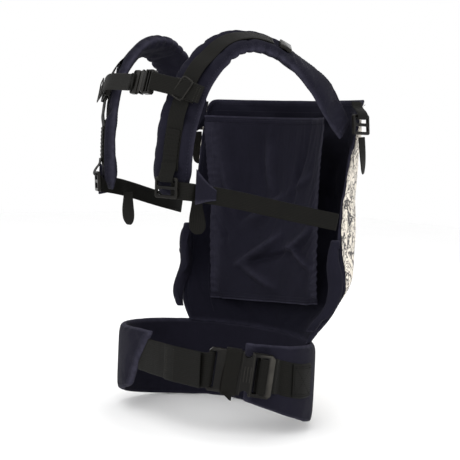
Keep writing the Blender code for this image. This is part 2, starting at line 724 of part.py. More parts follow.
def make_toy_loop():
    """A thin cord loop sewn to the panel's left edge, as a ring of a round cord."""
    wide, deep, tall = TOY_LOOP_RADII
    forward = Vector((0.0, 1.0, 0.0))
    rings = []
    steps = 14
    for i in range(steps + 1):
        a = math.radians(-150.0 + 300.0 * i / steps)
        middle = TOY_LOOP_CENTRE + Vector((wide * math.cos(a), deep * math.sin(a), tall * math.sin(a)))
        radial = Vector((math.cos(a), 0.0, math.sin(a)))
        turns = [2 * math.pi * k / 6 for k in range(6)]
        rings.append([middle + (radial * math.cos(b) + forward * math.sin(b)) * TOY_LOOP_CORD for b in turns])
    add_object("toy_loop", ring_mesh("toy_loop", rings), "black_webbing")


def main():
    clear_scene()
    make_belt()
    make_waist_closure()
    make_panel()
    make_leg_pads()
    make_hood()
    for name, side in SIDES:
        make_strap(name, side)
        make_side_strap(name, side)
        make_corner_adjuster(name, side)
    make_chest_strap()
    make_toy_loop()


main()
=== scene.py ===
"""The looks of a structured soft baby carrier, closed as it is worn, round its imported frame. Metres.

The pads, the seat panel and the hood follow the same curves as the frame's solids. They are closed
cloth forms or sheets, settled by cloth simulation. Webbing, seams and stitches are modelled directly,
and the moulded hardware is the frame's own shapes with rounded edges.
"""

import math

import bmesh
import bpy
import numpy as np
from mathutils import Matrix, Vector, noise
from mathutils.bvhtree import BVHTree


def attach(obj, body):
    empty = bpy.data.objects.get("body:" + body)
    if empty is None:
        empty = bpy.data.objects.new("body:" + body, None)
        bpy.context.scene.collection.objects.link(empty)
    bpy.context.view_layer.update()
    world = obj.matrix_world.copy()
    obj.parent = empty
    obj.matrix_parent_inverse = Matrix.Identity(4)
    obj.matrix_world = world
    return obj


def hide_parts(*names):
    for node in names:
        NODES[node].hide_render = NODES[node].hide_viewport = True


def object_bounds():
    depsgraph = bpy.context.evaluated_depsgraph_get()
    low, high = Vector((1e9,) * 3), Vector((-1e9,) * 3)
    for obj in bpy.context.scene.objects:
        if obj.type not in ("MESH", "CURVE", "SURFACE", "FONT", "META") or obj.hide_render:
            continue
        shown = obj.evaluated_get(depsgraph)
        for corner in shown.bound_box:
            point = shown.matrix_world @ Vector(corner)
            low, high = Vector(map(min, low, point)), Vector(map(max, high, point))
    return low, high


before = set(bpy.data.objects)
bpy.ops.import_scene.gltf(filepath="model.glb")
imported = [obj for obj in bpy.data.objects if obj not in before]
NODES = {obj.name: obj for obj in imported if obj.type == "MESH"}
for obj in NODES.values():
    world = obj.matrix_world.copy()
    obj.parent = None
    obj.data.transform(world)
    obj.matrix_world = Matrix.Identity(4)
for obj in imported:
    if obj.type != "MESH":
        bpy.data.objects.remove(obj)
CAD_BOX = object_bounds()

# ---------------------------------------------------------------- driving dimensions, as in the frame

WAIST_A = 0.153
WAIST_B = 0.112
WAIST_Y = -0.006
BELT_THICKNESS = 0.014
BELT_RIGHT_END = -121.0
BELT_LEFT_END = 172.0
BELT_END_SLANT = 10.0
BELT_TOP = 0.055
BELT_BOTTOM = -0.068
BELT_END_RISE_TOP = 0.012
BELT_END_RISE_BOTTOM = 0.054
BELT_TAPER = 105.0
WAIST_WEBBING = 0.050
SIDE_WEBBING = 0.025
WEBBING_THICKNESS = 0.0018

PANEL_STATIONS = (
    (0.058, 0.1530, -0.006, 0.112, 2.0, 60.0),
    (0.140, 0.1700, -0.088, 0.050, 2.0, 90.0),
    (0.200, 0.1640, -0.086, 0.088, 2.0, 91.0),
    (0.280, 0.1600, -0.090, 0.087, 2.0, 91.0),
    (0.407, 0.1645, -0.104, 0.060, 2.1, 90.0),
)
PANEL_CORNER_DROP = 0.052
PANEL_THICKNESS = 0.0087

LEG_PAD_LOW = 0.06
LEG_PAD_HIGH = 0.50
LEG_PAD_REACH = 0.020
LEG_PAD_THICKNESS = 0.020
LEG_PAD_CLEAR = 0.0038
LEG_PAD_SHIFT = 0.0085
LEG_PAD_NESTLE = 0.003

HOOD_TOP = 0.378
HOOD_BOTTOM = 0.098
HOOD_HALF_WIDTH = 0.124
HOOD_TOP_HALF_WIDTH = 0.138
HOOD_EDGE_DEPTH = -0.094
HOOD_TOP_EDGE_DEPTH = -0.076
HOOD_BOTTOM_DEPTH = -0.106
HOOD_TOP_DEPTH = -0.132
HOOD_TILT = 0.010

STRAP_ROUTE = (
    ((0.160, -0.092, 0.358), (0.93, -0.30, 0.05)),
    ((0.157, -0.070, 0.385), (0.92, -0.25, 0.25)),
    ((0.150, -0.046, 0.418), (0.84, -0.20, 0.45)),
    ((0.135, -0.012, 0.450), (0.60, -0.20, 0.78)),
    ((0.120, 0.020, 0.468), (0.44, 0.00, 0.90)),
    ((0.105, 0.052, 0.473), (0.40, 0.15, 0.90)),
    ((0.096, 0.086, 0.461), (0.42, 0.45, 0.78)),
    ((0.088, 0.121, 0.420), (0.44, 0.75, 0.45)),
    ((0.080, 0.138, 0.368), (0.45, 0.87, 0.15)),
    ((0.075, 0.143, 0.318), (0.45, 0.89, 0.00)),
    ((0.072, 0.141, 0.262), (0.45, 0.89, -0.05)),
)
STRAP_WIDTH = 0.058
STRAP_THICKNESS = 0.017
RAIL_LIFT = 0.0040
RAIL_START = 0.40
RAIL_END = 0.94
LOCK_T = 0.957
LOCK_LIFT = 0.0062
LOCK_LENGTH = 0.026
CORNER_LOCK = (0.1790, -0.103, 0.381)
SIDE_STRAP_T = 0.985
SIDE_STRAP_ROUTE = (
    (0.1065, 0.108, 0.2655),
    (0.123, 0.068, 0.259),
    (0.150, -0.002, 0.245),
    (0.1745, -0.072, 0.232),
)
SIDE_STRAP_FACING = ((0.90, 0.44, 0.0), (0.92, 0.38, 0.0), (0.93, 0.36, 0.0), (0.95, 0.30, 0.0))
TAB_START = 0.24
TAB_END = 0.46
TAB_CLEAR = 0.0032
SIDE_TAIL_TOP = (0.080, 0.104, 0.258)
SIDE_TAIL_LENGTH = 0.048
SIDE_TAIL_FACING = Vector((-0.45, 0.89, 0.0))
CORNER_TAIL_LENGTH = 0.052
CHEST_T = 0.74
CHEST_LIFT = 0.0066
CHEST_BUCKLE_X = -0.036
CHEST_BUCKLE_Y = 0.170
CHEST_BUCKLE_RISE = 0.008
CHEST_BUCKLE_LENGTH = 0.046
BUCKLE_ANGLE = -123.0
BUCKLE_LENGTH = 0.090
BUCKLE_SLOPE = 0.10
BUCKLE_HEIGHT = 0.028
BUCKLE_LIFT = 0.0235

SIDES = (("right", -1), ("left", 1))

# ---------------------------------------------------------------- curves


def spline(values, t):
    """Catmull-Rom through points, t from 0 to 1."""
    count = len(values) - 1
    place = min(max(t, 0.0), 1.0) * count
    i = min(int(place), count - 1)
    f = place - i
    p1 = Vector(values[i])
    p2 = Vector(values[i + 1])
    p0 = Vector(values[i - 1]) if i > 0 else 2 * p1 - p2
    p3 = Vector(values[i + 2]) if i + 2 <= count else 2 * p2 - p1
    return 0.5 * (2 * p1 + (p2 - p0) * f + (2 * p0 - 5 * p1 + 4 * p2 - p3) * f * f
                  + (3 * p1 - p0 - 3 * p2 + p3) * f ** 3)


def mix(a, b, t):
    return a + (b - a) * t


def smooth(t):
    t = min(max(t, 0.0), 1.0)
    return t * t * (3 - 2 * t)


def direction_at(places, u, step):
    """The direction along a curve through points, at u."""
    return (spline(places, min(u + step, 1.0)) - spline(places, max(u - step, 0.0))).normalized()


def ripple(place, scale, seed=0.0):
    """Smooth noise from -1 to 1 over a point in metres."""
    return noise.noise(Vector(place) * scale + Vector((seed, seed * 1.7, -seed)))


def frame_at(place, along, outward):
    z = outward.normalized()
    x = (along - along.dot(z) * z).normalized()
    turn = Matrix((x, z.cross(x), z)).transposed().to_4x4()
    return Matrix.Translation(place) @ turn


def mirrored(points, side):
    return [Vector((x * side, y, z)) for x, y, z in points]


def belt_edges(angle):
    from_end = min(angle - BELT_RIGHT_END, BELT_LEFT_END - angle)
    full = math.sin(0.5 * math.pi * min(max(from_end, 0.0) / BELT_TAPER, 1.0))
    return (BELT_BOTTOM + BELT_END_RISE_BOTTOM * (1 - full), BELT_TOP + BELT_END_RISE_TOP * (1 - full))


def waist_point(angle, height, lift):
    t = math.radians(angle)
    return Vector(((WAIST_A + lift) * math.sin(t), WAIST_Y - (WAIST_B + lift) * math.cos(t), height))


def waist_normal(angle):
    t = math.radians(angle)
    return Vector((math.sin(t) / WAIST_A, -math.cos(t) / WAIST_B, 0.0)).normalized()


def belt_place(u, v, lift):
    angle = mix(BELT_RIGHT_END, BELT_LEFT_END, u)
    angle += BELT_END_SLANT * (2 * v - 1) * smooth((u - 0.85) / 0.15)
    bottom, top = belt_edges(min(angle, BELT_LEFT_END))
    return waist_point(angle, mix(bottom, top, v), lift)


def webbing_middle(angle):
    if angle < 0:
        angle += 360.0
    return 0.030 - 0.020 * smooth((angle - 235.0) / 50.0)


def panel_station(v):
    height = mix(PANEL_STATIONS[0][0], PANEL_STATIONS[-1][0], v)
    count = len(PANEL_STATIONS)
    i = 0
    while i < count - 2 and height > PANEL_STATIONS[i + 1][0]:
        i += 1
    f = (height - PANEL_STATIONS[i][0]) / (PANEL_STATIONS[i + 1][0] - PANEL_STATIONS[i][0])
    values = []
    for k in range(len(PANEL_STATIONS[0])):
        p1 = PANEL_STATIONS[i][k]
        p2 = PANEL_STATIONS[i + 1][k]
        p0 = PANEL_STATIONS[i - 1][k] if i > 0 else 2 * p1 - p2
        p3 = PANEL_STATIONS[i + 2][k] if i + 2 < count else 2 * p2 - p1
        values.append(0.5 * (2 * p1 + (p2 - p0) * f + (2 * p0 - 5 * p1 + 4 * p2 - p3) * f * f
                             + (3 * p1 - p0 - 3 * p2 + p3) * f ** 3))
    return values


def panel_place(u, v, lift):
    """u from 0 at the right edge to 1 at the left edge, v from 0 at the belt to 1 at the top edge."""
    _, half_width, middle, depth, square, sweep = panel_station(v)
    side = 2 * u - 1
    angle = math.radians(sweep * side)
    sine = math.sin(angle)
    cosine = math.cos(angle)
    power = 2.0 / square
    x = (half_width + lift) * math.copysign(abs(sine) ** power, sine)
    y = middle - (depth + lift) * math.copysign(abs(cosine) ** power, cosine)
    belt_top = belt_edges(side * PANEL_STATIONS[0][5])[1]
    top = PANEL_STATIONS[-1][0] - PANEL_CORNER_DROP * abs(side) ** 22
    return Vector((x, y, mix(belt_top, top, v)))


def hood_place(u, v):
    side = 2 * u - 1
    x = mix(HOOD_HALF_WIDTH, HOOD_TOP_HALF_WIDTH, smooth(v * 2 - 1)) * side
    edge = mix(HOOD_EDGE_DEPTH, HOOD_TOP_EDGE_DEPTH, v)
    y = mix(mix(HOOD_BOTTOM_DEPTH, HOOD_TOP_DEPTH, v), edge, abs(side) ** 2.2)
    return Vector((x, y, mix(HOOD_BOTTOM - HOOD_TILT * side, HOOD_TOP, v)))


STRAP_PLACES = [place for place, _ in STRAP_ROUTE]
STRAP_NORMALS = [normal for _, normal in STRAP_ROUTE]


def strap_frame(side, t):
    """Place, direction along, direction across and outward normal of a strap at t; side is -1 for right."""
    place = spline(STRAP_PLACES, t)
    along = direction_at(STRAP_PLACES, t, 0.005)
    normal = spline(STRAP_NORMALS, t)
    normal = (normal - normal.dot(along) * along).normalized()
    across = along.cross(normal)
    for vector in (place, along, across, normal):
        vector.x *= side
    return place, along, across, normal


def strap_half_width(t):
    start = smooth(t / 0.16)
    end = math.sqrt(max(1 - max((t - 0.93) / 0.07, 0.0) ** 2 * 0.75, 0.0))
    return 0.5 * STRAP_WIDTH * mix(0.62, 1.0, start) * end


# ---------------------------------------------------------------- materials


def node(tree, kind, settings=None, **values):
    """Adds a shader node. A value that is a socket is linked, any other is set. Names use _ for spaces."""
    made = tree.nodes.new("ShaderNode" + kind)
    for key, value in (settings or {}).items():
        setattr(made, key, value)
    for key, value in values.items():
        numbered = key[0] == "i" and key[1:].isdigit()
        socket = made.inputs[int(key[1:]) if numbered else key.replace("_", " ")]
        if isinstance(value, bpy.types.NodeSocket):
            tree.links.new(value, socket)
        else:
            socket.default_value = value
    return made


def calc(tree, operation, first, second=0.0, third=0.0):
    return node(tree, "Math", {"operation": operation}, i0=first, i1=second, i2=third).outputs[0]


def new_material(name, roughness, sheen=0.0, specular=0.5):
    made = bpy.data.materials.new(name)
    made.use_nodes = True
    shader = made.node_tree.nodes["Principled BSDF"]
    shader.inputs["Roughness"].default_value = roughness
    shader.inputs["Sheen Weight"].default_value = sheen
    shader.inputs["Sheen Roughness"].default_value = 0.45
    shader.inputs["Specular IOR Level"].default_value = specular
    return made, made.node_tree, shader


def two_tone(tree, low, high, factor):
    """A colour between two, by a factor that changes over the surface."""
    blend = node(tree, "Mix", {"data_type": "RGBA"}, Factor=factor)
    blend.inputs[6].default_value = (*low, 1.0)
    blend.inputs[7].default_value = (*high, 1.0)
    return blend.outputs[2]


def painted(tree, shader, under, over, factor):
    """The shader's colour: a fixed colour laid over another by a factor."""
    blend = node(tree, "Mix", {"data_type": "RGBA"}, Factor=factor)
    tree.links.new(under, blend.inputs[6])
    blend.inputs[7].default_value = (*over, 1.0)
    tree.links.new(blend.outputs[2], shader.inputs["Base Color"])


def cloth_coordinates(tree):
    split = node(tree, "SeparateXYZ", Vector=node(tree, "UVMap", {"uv_map": "weave"}).outputs[0])
    return split.outputs[0], split.outputs[1]


def weave_height(tree, along, across, pitch):
    """Plain weave: threads over and under, as a height from 0 to 1."""
    wave_a = calc(tree, "SINE", calc(tree, "MULTIPLY", along, 2 * math.pi / pitch))
    wave_b = calc(tree, "SINE", calc(tree, "MULTIPLY", across, 2 * math.pi / pitch))
    return calc(tree, "MULTIPLY_ADD", calc(tree, "MULTIPLY", wave_a, wave_b), 0.5, 0.5)


def surface_noise(tree, scale, detail=3.0, distortion=0.0):
    place = node(tree, "TexCoord").outputs["Object"]
    made = node(tree, "TexNoise", Vector=place, Scale=scale, Detail=detail, Distortion=distortion)
    return made.outputs[0]


def add_bump(tree, shader, height, strength, distance, under=None):
    made = node(tree, "Bump", Height=height, Strength=strength, Distance=distance)
    if under is not None:
        tree.links.new(under, made.inputs["Normal"])
    tree.links.new(made.outputs[0], shader.inputs["Normal"])
    return made.outputs[0]


def canvas(name, deep, light, wear_and_highlight, pitch=0.0011):
    """Woven cotton canvas: thread bump, uneven dye, lint, paler cloth where seams rub, and on the hood's fold
    crests a painted highlight.
    """
    made, tree, shader = new_material(name, 0.86, sheen=0.03, specular=0.07)
    along, across = cloth_coordinates(tree)
    threads = weave_height(tree, along, across, pitch)
    blotch = surface_noise(tree, 22.0, 4.0)
    grain = surface_noise(tree, 900.0, 2.0)
    tone = calc(tree, "MULTIPLY_ADD", grain, 0.35, calc(tree, "MULTIPLY", blotch, 0.75))
    dyed = two_tone(tree, deep, light, calc(tree, "MULTIPLY", tone, threads))
    # This attribute holds rubbed wear at seams and edges, and on the hood a painted highlight on its fold
    # crests
    wear_and_highlight_amount = node(tree, "Attribute", {"attribute_name": "wear_and_highlight"}).outputs["Fac"]
    patchy = calc(tree, "MULTIPLY", wear_and_highlight_amount, surface_noise(tree, 140.0, 3.0))
    painted(tree, shader, dyed, wear_and_highlight, patchy)
    rough = calc(tree, "MULTIPLY_ADD", blotch, 0.16, 0.76)
    tree.links.new(rough, shader.inputs["Roughness"])
    soft = add_bump(tree, shader, surface_noise(tree, 120.0, 4.0), 0.25, 0.0006)
    add_bump(tree, shader, threads, 0.45, 0.00025, under=soft)
    shader.inputs["Sheen Tint"].default_value = (*[min(4 * c + 0.2, 1.0) for c in light], 1.0)
    return made


def ribbed(name, deep, light, rib, pick, strength=0.55):
    """Ribbed webbing: fine ribs along it, with the picks of the weave across them."""
    made, tree, shader = new_material(name, 0.62, sheen=0.01, specular=0.09)
    along, across = cloth_coordinates(tree)
    ribs = calc(tree, "SINE", calc(tree, "MULTIPLY", across, 2 * math.pi / rib))
    slanted = calc(tree, "MULTIPLY_ADD", ribs, pick * 0.25, along)
    picks = calc(tree, "SINE", calc(tree, "MULTIPLY", slanted, 2 * math.pi / pick))
    height = calc(tree, "MULTIPLY_ADD", picks, 0.2, calc(tree, "MULTIPLY_ADD", ribs, 0.3, 0.5))
    blotch = surface_noise(tree, 45.0, 4.0)
    tone = calc(tree, "MULTIPLY", height, calc(tree, "MULTIPLY_ADD", blotch, 0.8, 0.3))
    tree.links.new(two_tone(tree, deep, light, tone), shader.inputs["Base Color"])
    tree.links.new(calc(tree, "MULTIPLY_ADD", blotch, 0.2, 0.52), shader.inputs["Roughness"])
    add_bump(tree, shader, height, strength, 0.0004)
    return made


# Painted highlight colour laid on sharp plastic edges, standing in for the light they catch
EDGE_HIGHLIGHT = (0.048, 0.045, 0.039)


def moulding(name, deep, light, roughness):
    """Moulded acetal: a fine spark-eroded grain, flow marks, handling scratches and a painted highlight on
    its sharp edges.
    """
    made, tree, shader = new_material(name, roughness, specular=0.13)
    grain = surface_noise(tree, 1800.0, 2.0)
    flow = surface_noise(tree, 60.0, 3.0, 1.2)
    place = node(tree, "TexCoord").outputs["Object"]
    stretch = node(tree, "Mapping", Vector=place)
    stretch.inputs["Scale"].default_value = (40.0, 420.0, 900.0)
    stretch.inputs["Rotation"].default_value = (0.3, 0.2, 0.7)
    scratch = node(tree, "TexNoise", Vector=stretch.outputs[0], Scale=1.0, Detail=4.0).outputs[0]
    marks = calc(tree, "GREATER_THAN", scratch, 0.66)
    rough = calc(tree, "MULTIPLY_ADD", flow, 0.14, roughness - 0.07)
    tree.links.new(calc(tree, "MULTIPLY_ADD", marks, 0.12, rough), shader.inputs["Roughness"])
    # Painted highlight: edges picked out by pointiness are painted paler, as if they caught the light
    sharpness = node(tree, "NewGeometry").outputs["Pointiness"]
    rim = node(tree, "MapRange", Value=sharpness, From_Min=0.525, From_Max=0.600).outputs[0]
    painted_edge_highlight = calc(tree, "MULTIPLY", rim, calc(tree, "MULTIPLY_ADD", flow, 0.8, 0.35))
    painted(tree, shader, two_tone(tree, deep, light, flow), EDGE_HIGHLIGHT, painted_edge_highlight)
    soft = add_bump(tree, shader, flow, 0.10, 0.0003)
    add_bump(tree, shader, grain, 0.18, 0.00008, under=soft)
    return made


def line_mask(tree, value, width):
    """1 where a value is under a width, with a soft edge."""
    made = node(tree, "MapRange", {"interpolation_type": "SMOOTHSTEP"}, Value=value)
    made.inputs["From Min"].default_value = width
    made.inputs["From Max"].default_value = width * 0.5
    return made.outputs[0]


def print_cloth(name, cream, shade, ink):
    """Cream canvas printed with a fine made-up chart: crooked borders, level lines, dots and dashes."""
    made, tree, shader = new_material(name, 0.82, sheen=0.05, specular=0.20)
    along, across = cloth_coordinates(tree)
    threads = weave_height(tree, along, across, 0.0011)
    flat = node(tree, "CombineXYZ", X=along, Y=across).outputs[0]
    wobble = node(tree, "TexNoise", Vector=flat, Scale=60.0, Detail=5.0).outputs[1]
    shifted = node(tree, "VectorMath", {"operation": "MULTIPLY_ADD"},
                   i0=wobble, i1=(0.03, 0.03, 0.0), i2=flat)
    shifted = shifted.outputs[0]
    masks = []
    for scale, width in ((22.0, 0.030), (48.0, 0.045), (95.0, 0.060)):
        cells = node(tree, "TexVoronoi", {"feature": "DISTANCE_TO_EDGE"}, Vector=shifted, Scale=scale)
        masks.append(line_mask(tree, cells.outputs["Distance"], width))
    hills = node(tree, "TexNoise", Vector=flat, Scale=16.0, Detail=3.0).outputs[0]
    level = calc(tree, "PINGPONG", calc(tree, "MULTIPLY", hills, 14.0), 0.5)
    masks.append(line_mask(tree, level, 0.09))
    dots = node(tree, "TexVoronoi", {"feature": "F1"}, Vector=flat, Scale=170.0)
    masks.append(line_mask(tree, dots.outputs["Distance"], 0.24))
    total = None
    for mask, scale, limit in zip(masks, (35.0, 55.0, 80.0, 24.0, 70.0), (0.36, 0.45, 0.49, 0.44, 0.52)):
        patch = node(tree, "TexNoise", Vector=flat, Scale=scale, Detail=2.0).outputs[0]
        shown = calc(tree, "MULTIPLY", mask, calc(tree, "GREATER_THAN", patch, limit))
        total = shown if total is None else calc(tree, "MAXIMUM", total, shown)
    faded = calc(tree, "MULTIPLY", surface_noise(tree, 30.0), 0.6)
    cloth = two_tone(tree, shade, cream, calc(tree, "MULTIPLY_ADD", threads, 0.5, faded))
    painted(tree, shader, cloth, ink, calc(tree, "MULTIPLY", total, 0.95))
    add_bump(tree, shader, threads, 0.35, 0.00025)
    return made


def plain(name, colour, roughness):
    """A studio surface with a very slight unevenness."""
    made, tree, shader = new_material(name, roughness)
    tone = two_tone(tree, [c * 0.97 for c in colour], colour, surface_noise(tree, 3.0))
    tree.links.new(tone, shader.inputs["Base Color"])
    return made


NAVY = canvas("navy canvas", (0.0042, 0.0041, 0.0080), (0.0200, 0.0187, 0.0315), (0.046, 0.044, 0.066))
NAVY_LINING = canvas("navy lining", (0.0030, 0.0030, 0.0065), (0.0125, 0.0118, 0.0215),
                     (0.030, 0.029, 0.046), 0.0009)
PRINT = print_cloth("cream print", (0.86, 0.81, 0.72), (0.70, 0.63, 0.53), (0.016, 0.016, 0.024))
WEBBING = ribbed("black webbing", (0.0016, 0.0016, 0.0014), (0.0108, 0.0101, 0.0082), 0.0021, 0.0016)
WIDE_WEBBING = ribbed("wide webbing", (0.0015, 0.0015, 0.0013), (0.0092, 0.0086, 0.0068), 0.0028, 0.0018)
ELASTIC = ribbed("elastic", (0.0020, 0.0019, 0.0016), (0.0105, 0.0096, 0.0075), 0.0014, 0.0011, 0.8)
PLASTIC = moulding("black acetal", (0.0018, 0.0016, 0.0014), (0.0070, 0.0063, 0.0054), 0.34)
THREAD = ribbed("thread", (0.012, 0.012, 0.018), (0.050, 0.050, 0.070), 0.0006, 0.0004)
BOX_THREAD = ribbed("box thread", (0.0006, 0.0006, 0.0006), (0.0024, 0.0023, 0.0021), 0.0006, 0.0004)
BOX_THREAD.node_tree.nodes["Principled BSDF"].inputs["Specular IOR Level"].default_value = 0.04
BOX_THREAD.node_tree.nodes["Principled BSDF"].inputs["Sheen Weight"].default_value = 0.0
DARK_THREAD = ribbed("dark thread", (0.026, 0.025, 0.021), (0.075, 0.071, 0.060), 0.0006, 0.0004)

# ---------------------------------------------------------------- building meshes


def add_object(name, mesh, material):
    """A smooth-shaded object for a finished mesh."""
    mesh.materials.clear()
    mesh.materials.append(material)
    mesh.shade_smooth()
    obj = bpy.data.objects.new(name, mesh)
    bpy.context.collection.objects.link(obj)
    return obj


def zip_cap(base, count):
    """Quads across the end ring of a tube, pairing its first point with its last and so on inwards."""
    faces = []
    low = 0
    high = count - 1
    while high - low > 1:
        ends = (low, low + 1, high) if high - low == 2 else (low, low + 1, high - 1, high)
        faces.append(tuple(base + k for k in ends))
        low += 1
        high -= 1
    return faces


def running_length(points, axis):
    """Mean length along one axis of a grid of points, added up."""
    steps = np.linalg.norm(np.diff(points, axis=axis), axis=2).mean(axis=1 - axis)
    return np.concatenate([[0.0], np.cumsum(steps)])


def grid_object(name, rows, material, ring=False, caps=False):
    """A mesh through rows of points, with a map in metres. ring joins each row's ends, caps closes a tube."""
    points = np.array([[tuple(p) for p in row] for row in rows], float)
    count, width = points.shape[:2]
    wrapped = np.concatenate([points, points[:, :1]], axis=1) if ring else points
    along = running_length(points, 0)
    around = running_length(wrapped, 1)
    cells = width if ring else width - 1
    faces = []
    corners = []
    for i in range(count - 1):
        for k in range(cells):
            a = i * width + k
            b = i * width + (k + 1) % width
            faces.append((a, b, b + width, a + width))
            corners += [(along[i], around[k]), (along[i], around[k + 1]),
                        (along[i + 1], around[k + 1]), (along[i + 1], around[k])]
    if caps:
        ends = zip_cap(0, width) + zip_cap((count - 1) * width, width)
        flat = points.reshape(-1, 3)
        for face in ends:
            faces.append(face)
            corners += [(flat[k][0] + flat[k][1], flat[k][2]) for k in face]
    mesh = bpy.data.meshes.new(name)
    mesh.from_pydata(points.reshape(-1, 3).tolist(), [], faces)
    layer = mesh.uv_layers.new(name="weave")
    layer.data.foreach_set("uv", np.array(corners, np.float32).ravel())
    if caps or ring:
        work = bmesh.new()
        work.from_mesh(mesh)
        bmesh.ops.recalc_face_normals(work, faces=work.faces)
        work.to_mesh(mesh)
        work.free()
    return add_object(name, mesh, material)


def across_steps(cells):
    """Places from -1 to 1, closer together near both ends."""
    return [mix(-1 + 2 * j / cells, -math.cos(math.pi * j / cells), 0.55) for j in range(cells + 1)]


def crown(x, power):
    return max(1 - abs(x) ** power, 0.0) ** (1 / power)


def pad_section(cells, power):
    """A pillow's outline as (across, lift) from -1 to 1: over the outer face and back under the inner one."""
    steps = across_steps(cells)
    return [(x, crown(x, power)) for x in steps] + [(x, -crown(x, power)) for x in steps[-2:0:-1]]


def set_wear_and_highlight(obj, values):
    """How rubbed each point is, from 0 to 1, for the cloth's material; on the hood it also carries a painted
    highlight on the fold crests.
    """
    attribute = obj.data.attributes.new("wear_and_highlight", "FLOAT", "POINT")
    attribute.data.foreach_set("value", np.clip(np.array(values, np.float32), 0, 1))


def coordinates(mesh):
    co = np.zeros(len(mesh.vertices) * 3)
    mesh.vertices.foreach_get("co", co)
    return co.reshape(-1, 3)


def settle(obj, held, pressure=4.0, growth=0.03, limit=0.004, frames=20, gravity=0.0, bending=0.3):
    """Cloth simulation applied to obj's mesh. held is each point's hold, 0 to 1, and limit its travel."""
    rest = coordinates(obj.data)
    group = obj.vertex_groups.new(name="held")
    for i, weight in enumerate(held):
        if weight > 0:
            group.add([i], float(weight), "REPLACE")
    cloth = obj.modifiers.new("cloth", "CLOTH")
    settings = cloth.settings
    settings.quality = 5
    settings.mass = 0.3
    settings.tension_stiffness = 20
    settings.compression_stiffness = 20
    settings.shear_stiffness = 8
    settings.bending_stiffness = bending
    settings.use_pressure = pressure > 0
    settings.uniform_pressure_force = pressure
    settings.shrink_min = -growth
    settings.vertex_group_mass = "held"
    settings.pin_stiffness = 1.0
    settings.effector_weights.gravity = gravity
    cloth.collision_settings.use_collision = False
    cloth.point_cache.frame_start = 1
    cloth.point_cache.frame_end = frames
    scene = bpy.context.scene
    for step in range(1, frames + 1):
        scene.frame_set(step)
    evaluated = obj.evaluated_get(bpy.context.evaluated_depsgraph_get())
    moved = coordinates(evaluated.data)
    obj.modifiers.remove(cloth)
    obj.vertex_groups.remove(group)
    scene.frame_set(1)
    travel = moved - rest
    length = np.linalg.norm(travel, axis=1, keepdims=True)
    travel *= np.minimum(1.0, limit / np.maximum(length, 1e-9))
    obj.data.vertices.foreach_set("co", (rest + travel).ravel())
    obj.data.update()


def subdivide(obj):
    made = obj.modifiers.new("subdivision", "SUBSURF")
    made.levels = 1
    made.render_levels = 1
    return obj


def thicken(obj, thickness):
    """Gives a sheet its thickness, half on each side, and smooths it."""
    made = obj.modifiers.new("thickness", "SOLIDIFY")
    made.thickness = thickness
    made.offset = 0.0
    return subdivide(obj)


def put(obj, body, slot, *replaced):
    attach(obj, body)
    if replaced:
        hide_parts(*replaced)
    return obj


def tree_of(obj):
    """A search tree over the finished surface of an object."""
    bpy.context.view_layer.update()
    return BVHTree.FromObject(obj, bpy.context.evaluated_depsgraph_get())


STITCH_LENGTH = 0.0030
STITCH_PITCH = 0.0043
STITCH_HALF_WIDTH = 0.00042
STITCH_RISE = 0.00038


def stitches(name, runs, body, slot, material=None, trees=(), tight=1.0, heavy=1.0):
    """Rows of stitches. Each run is a list of (point, outward); trees are surfaces that they lie on."""
    points = []
    faces = []
    for run in runs:
        places = [Vector(p) for p, _ in run]
        outs = [Vector(n) for _, n in run]
        lengths = [0.0]
        for a, b in zip(places, places[1:]):
            lengths.append(lengths[-1] + (b - a).length)
        pitch = STITCH_PITCH * tight
        count = int(lengths[-1] / pitch)
        k = 0
        for n in range(count):
            target = (n + 0.5) * pitch
            while k < len(lengths) - 2 and lengths[k + 1] < target:
                k += 1
            f = (target - lengths[k]) / max(lengths[k + 1] - lengths[k], 1e-9)
            place = places[k].lerp(places[k + 1], f)
            out = outs[k].lerp(outs[k + 1], f).normalized()
            along = (places[k + 1] - places[k]).normalized()
            for surface in trees:
                hit = surface.ray_cast(place + out * 0.006, -out, 0.014)
                if hit[0] is not None:
                    place = hit[0]
                    out = hit[1] if hit[1].dot(out) > 0 else -hit[1]
                    break
            along = (along - along.dot(out) * out).normalized()
            lateral = out.cross(along)
            half = STITCH_LENGTH * 0.5 * min(tight, 1.0)
            base = len(points)
            points += [place - along * half - out * 0.0001, place + along * half - out * 0.0001,
                       place + lateral * STITCH_HALF_WIDTH * heavy, place + out * STITCH_RISE,
                       place - lateral * STITCH_HALF_WIDTH * heavy, place - out * STITCH_RISE]
            for a, b in ((2, 3), (3, 4), (4, 5), (5, 2)):
                faces += [(base, base + b, base + a), (base + 1, base + a, base + b)]
    mesh = bpy.data.meshes.new(name)
    mesh.from_pydata([tuple(p) for p in points], [], faces)
    mesh.uv_layers.new(name="weave")
    return put(add_object(name, mesh, material or THREAD), body, slot)


def strip(name, at, cells, material, thickness=WEBBING_THICKNESS, across=10, power=5.0, wave=0.00025):
    """Webbing along at(u), which gives (middle of the inner face, across, outward, half width)."""
    section = pad_section(across, power)
    rows = []
    for i in range(cells + 1):
        middle, side, outward, half = at(i / cells)
        lift = thickness / 2 + wave * ripple(middle, 90.0)
        rows.append([middle + side * (x * half) + outward * (lift + z * thickness / 2) for x, z in section])
    return subdivide(grid_object(name, rows, material, ring=True, caps=True))


def ribbon_path(places, normals, width, round_from=None, twist=0.0, waisted=0.0):
    """at(u) for a strip through points, its outer face looking along the normals."""
    def at(u):
        point = spline(places, u)
        along = direction_at(places, u, 0.02)
        normal = spline(normals, u)
        normal = (normal - normal.dot(along) * along).normalized()
        side = along.cross(normal)
        if twist:
            turn = Matrix.Rotation(twist * u, 3, along)
            normal = turn @ normal
            side = turn @ side
        half = width / 2 * (1 - waisted * (1 - smooth(u / 0.7)))
        if round_from is not None and u > round_from:
            half *= math.sqrt(max(1 - ((u - round_from) / (1 - round_from)) ** 2 * 0.9, 0.06))
        return point, side, normal, half
    return at


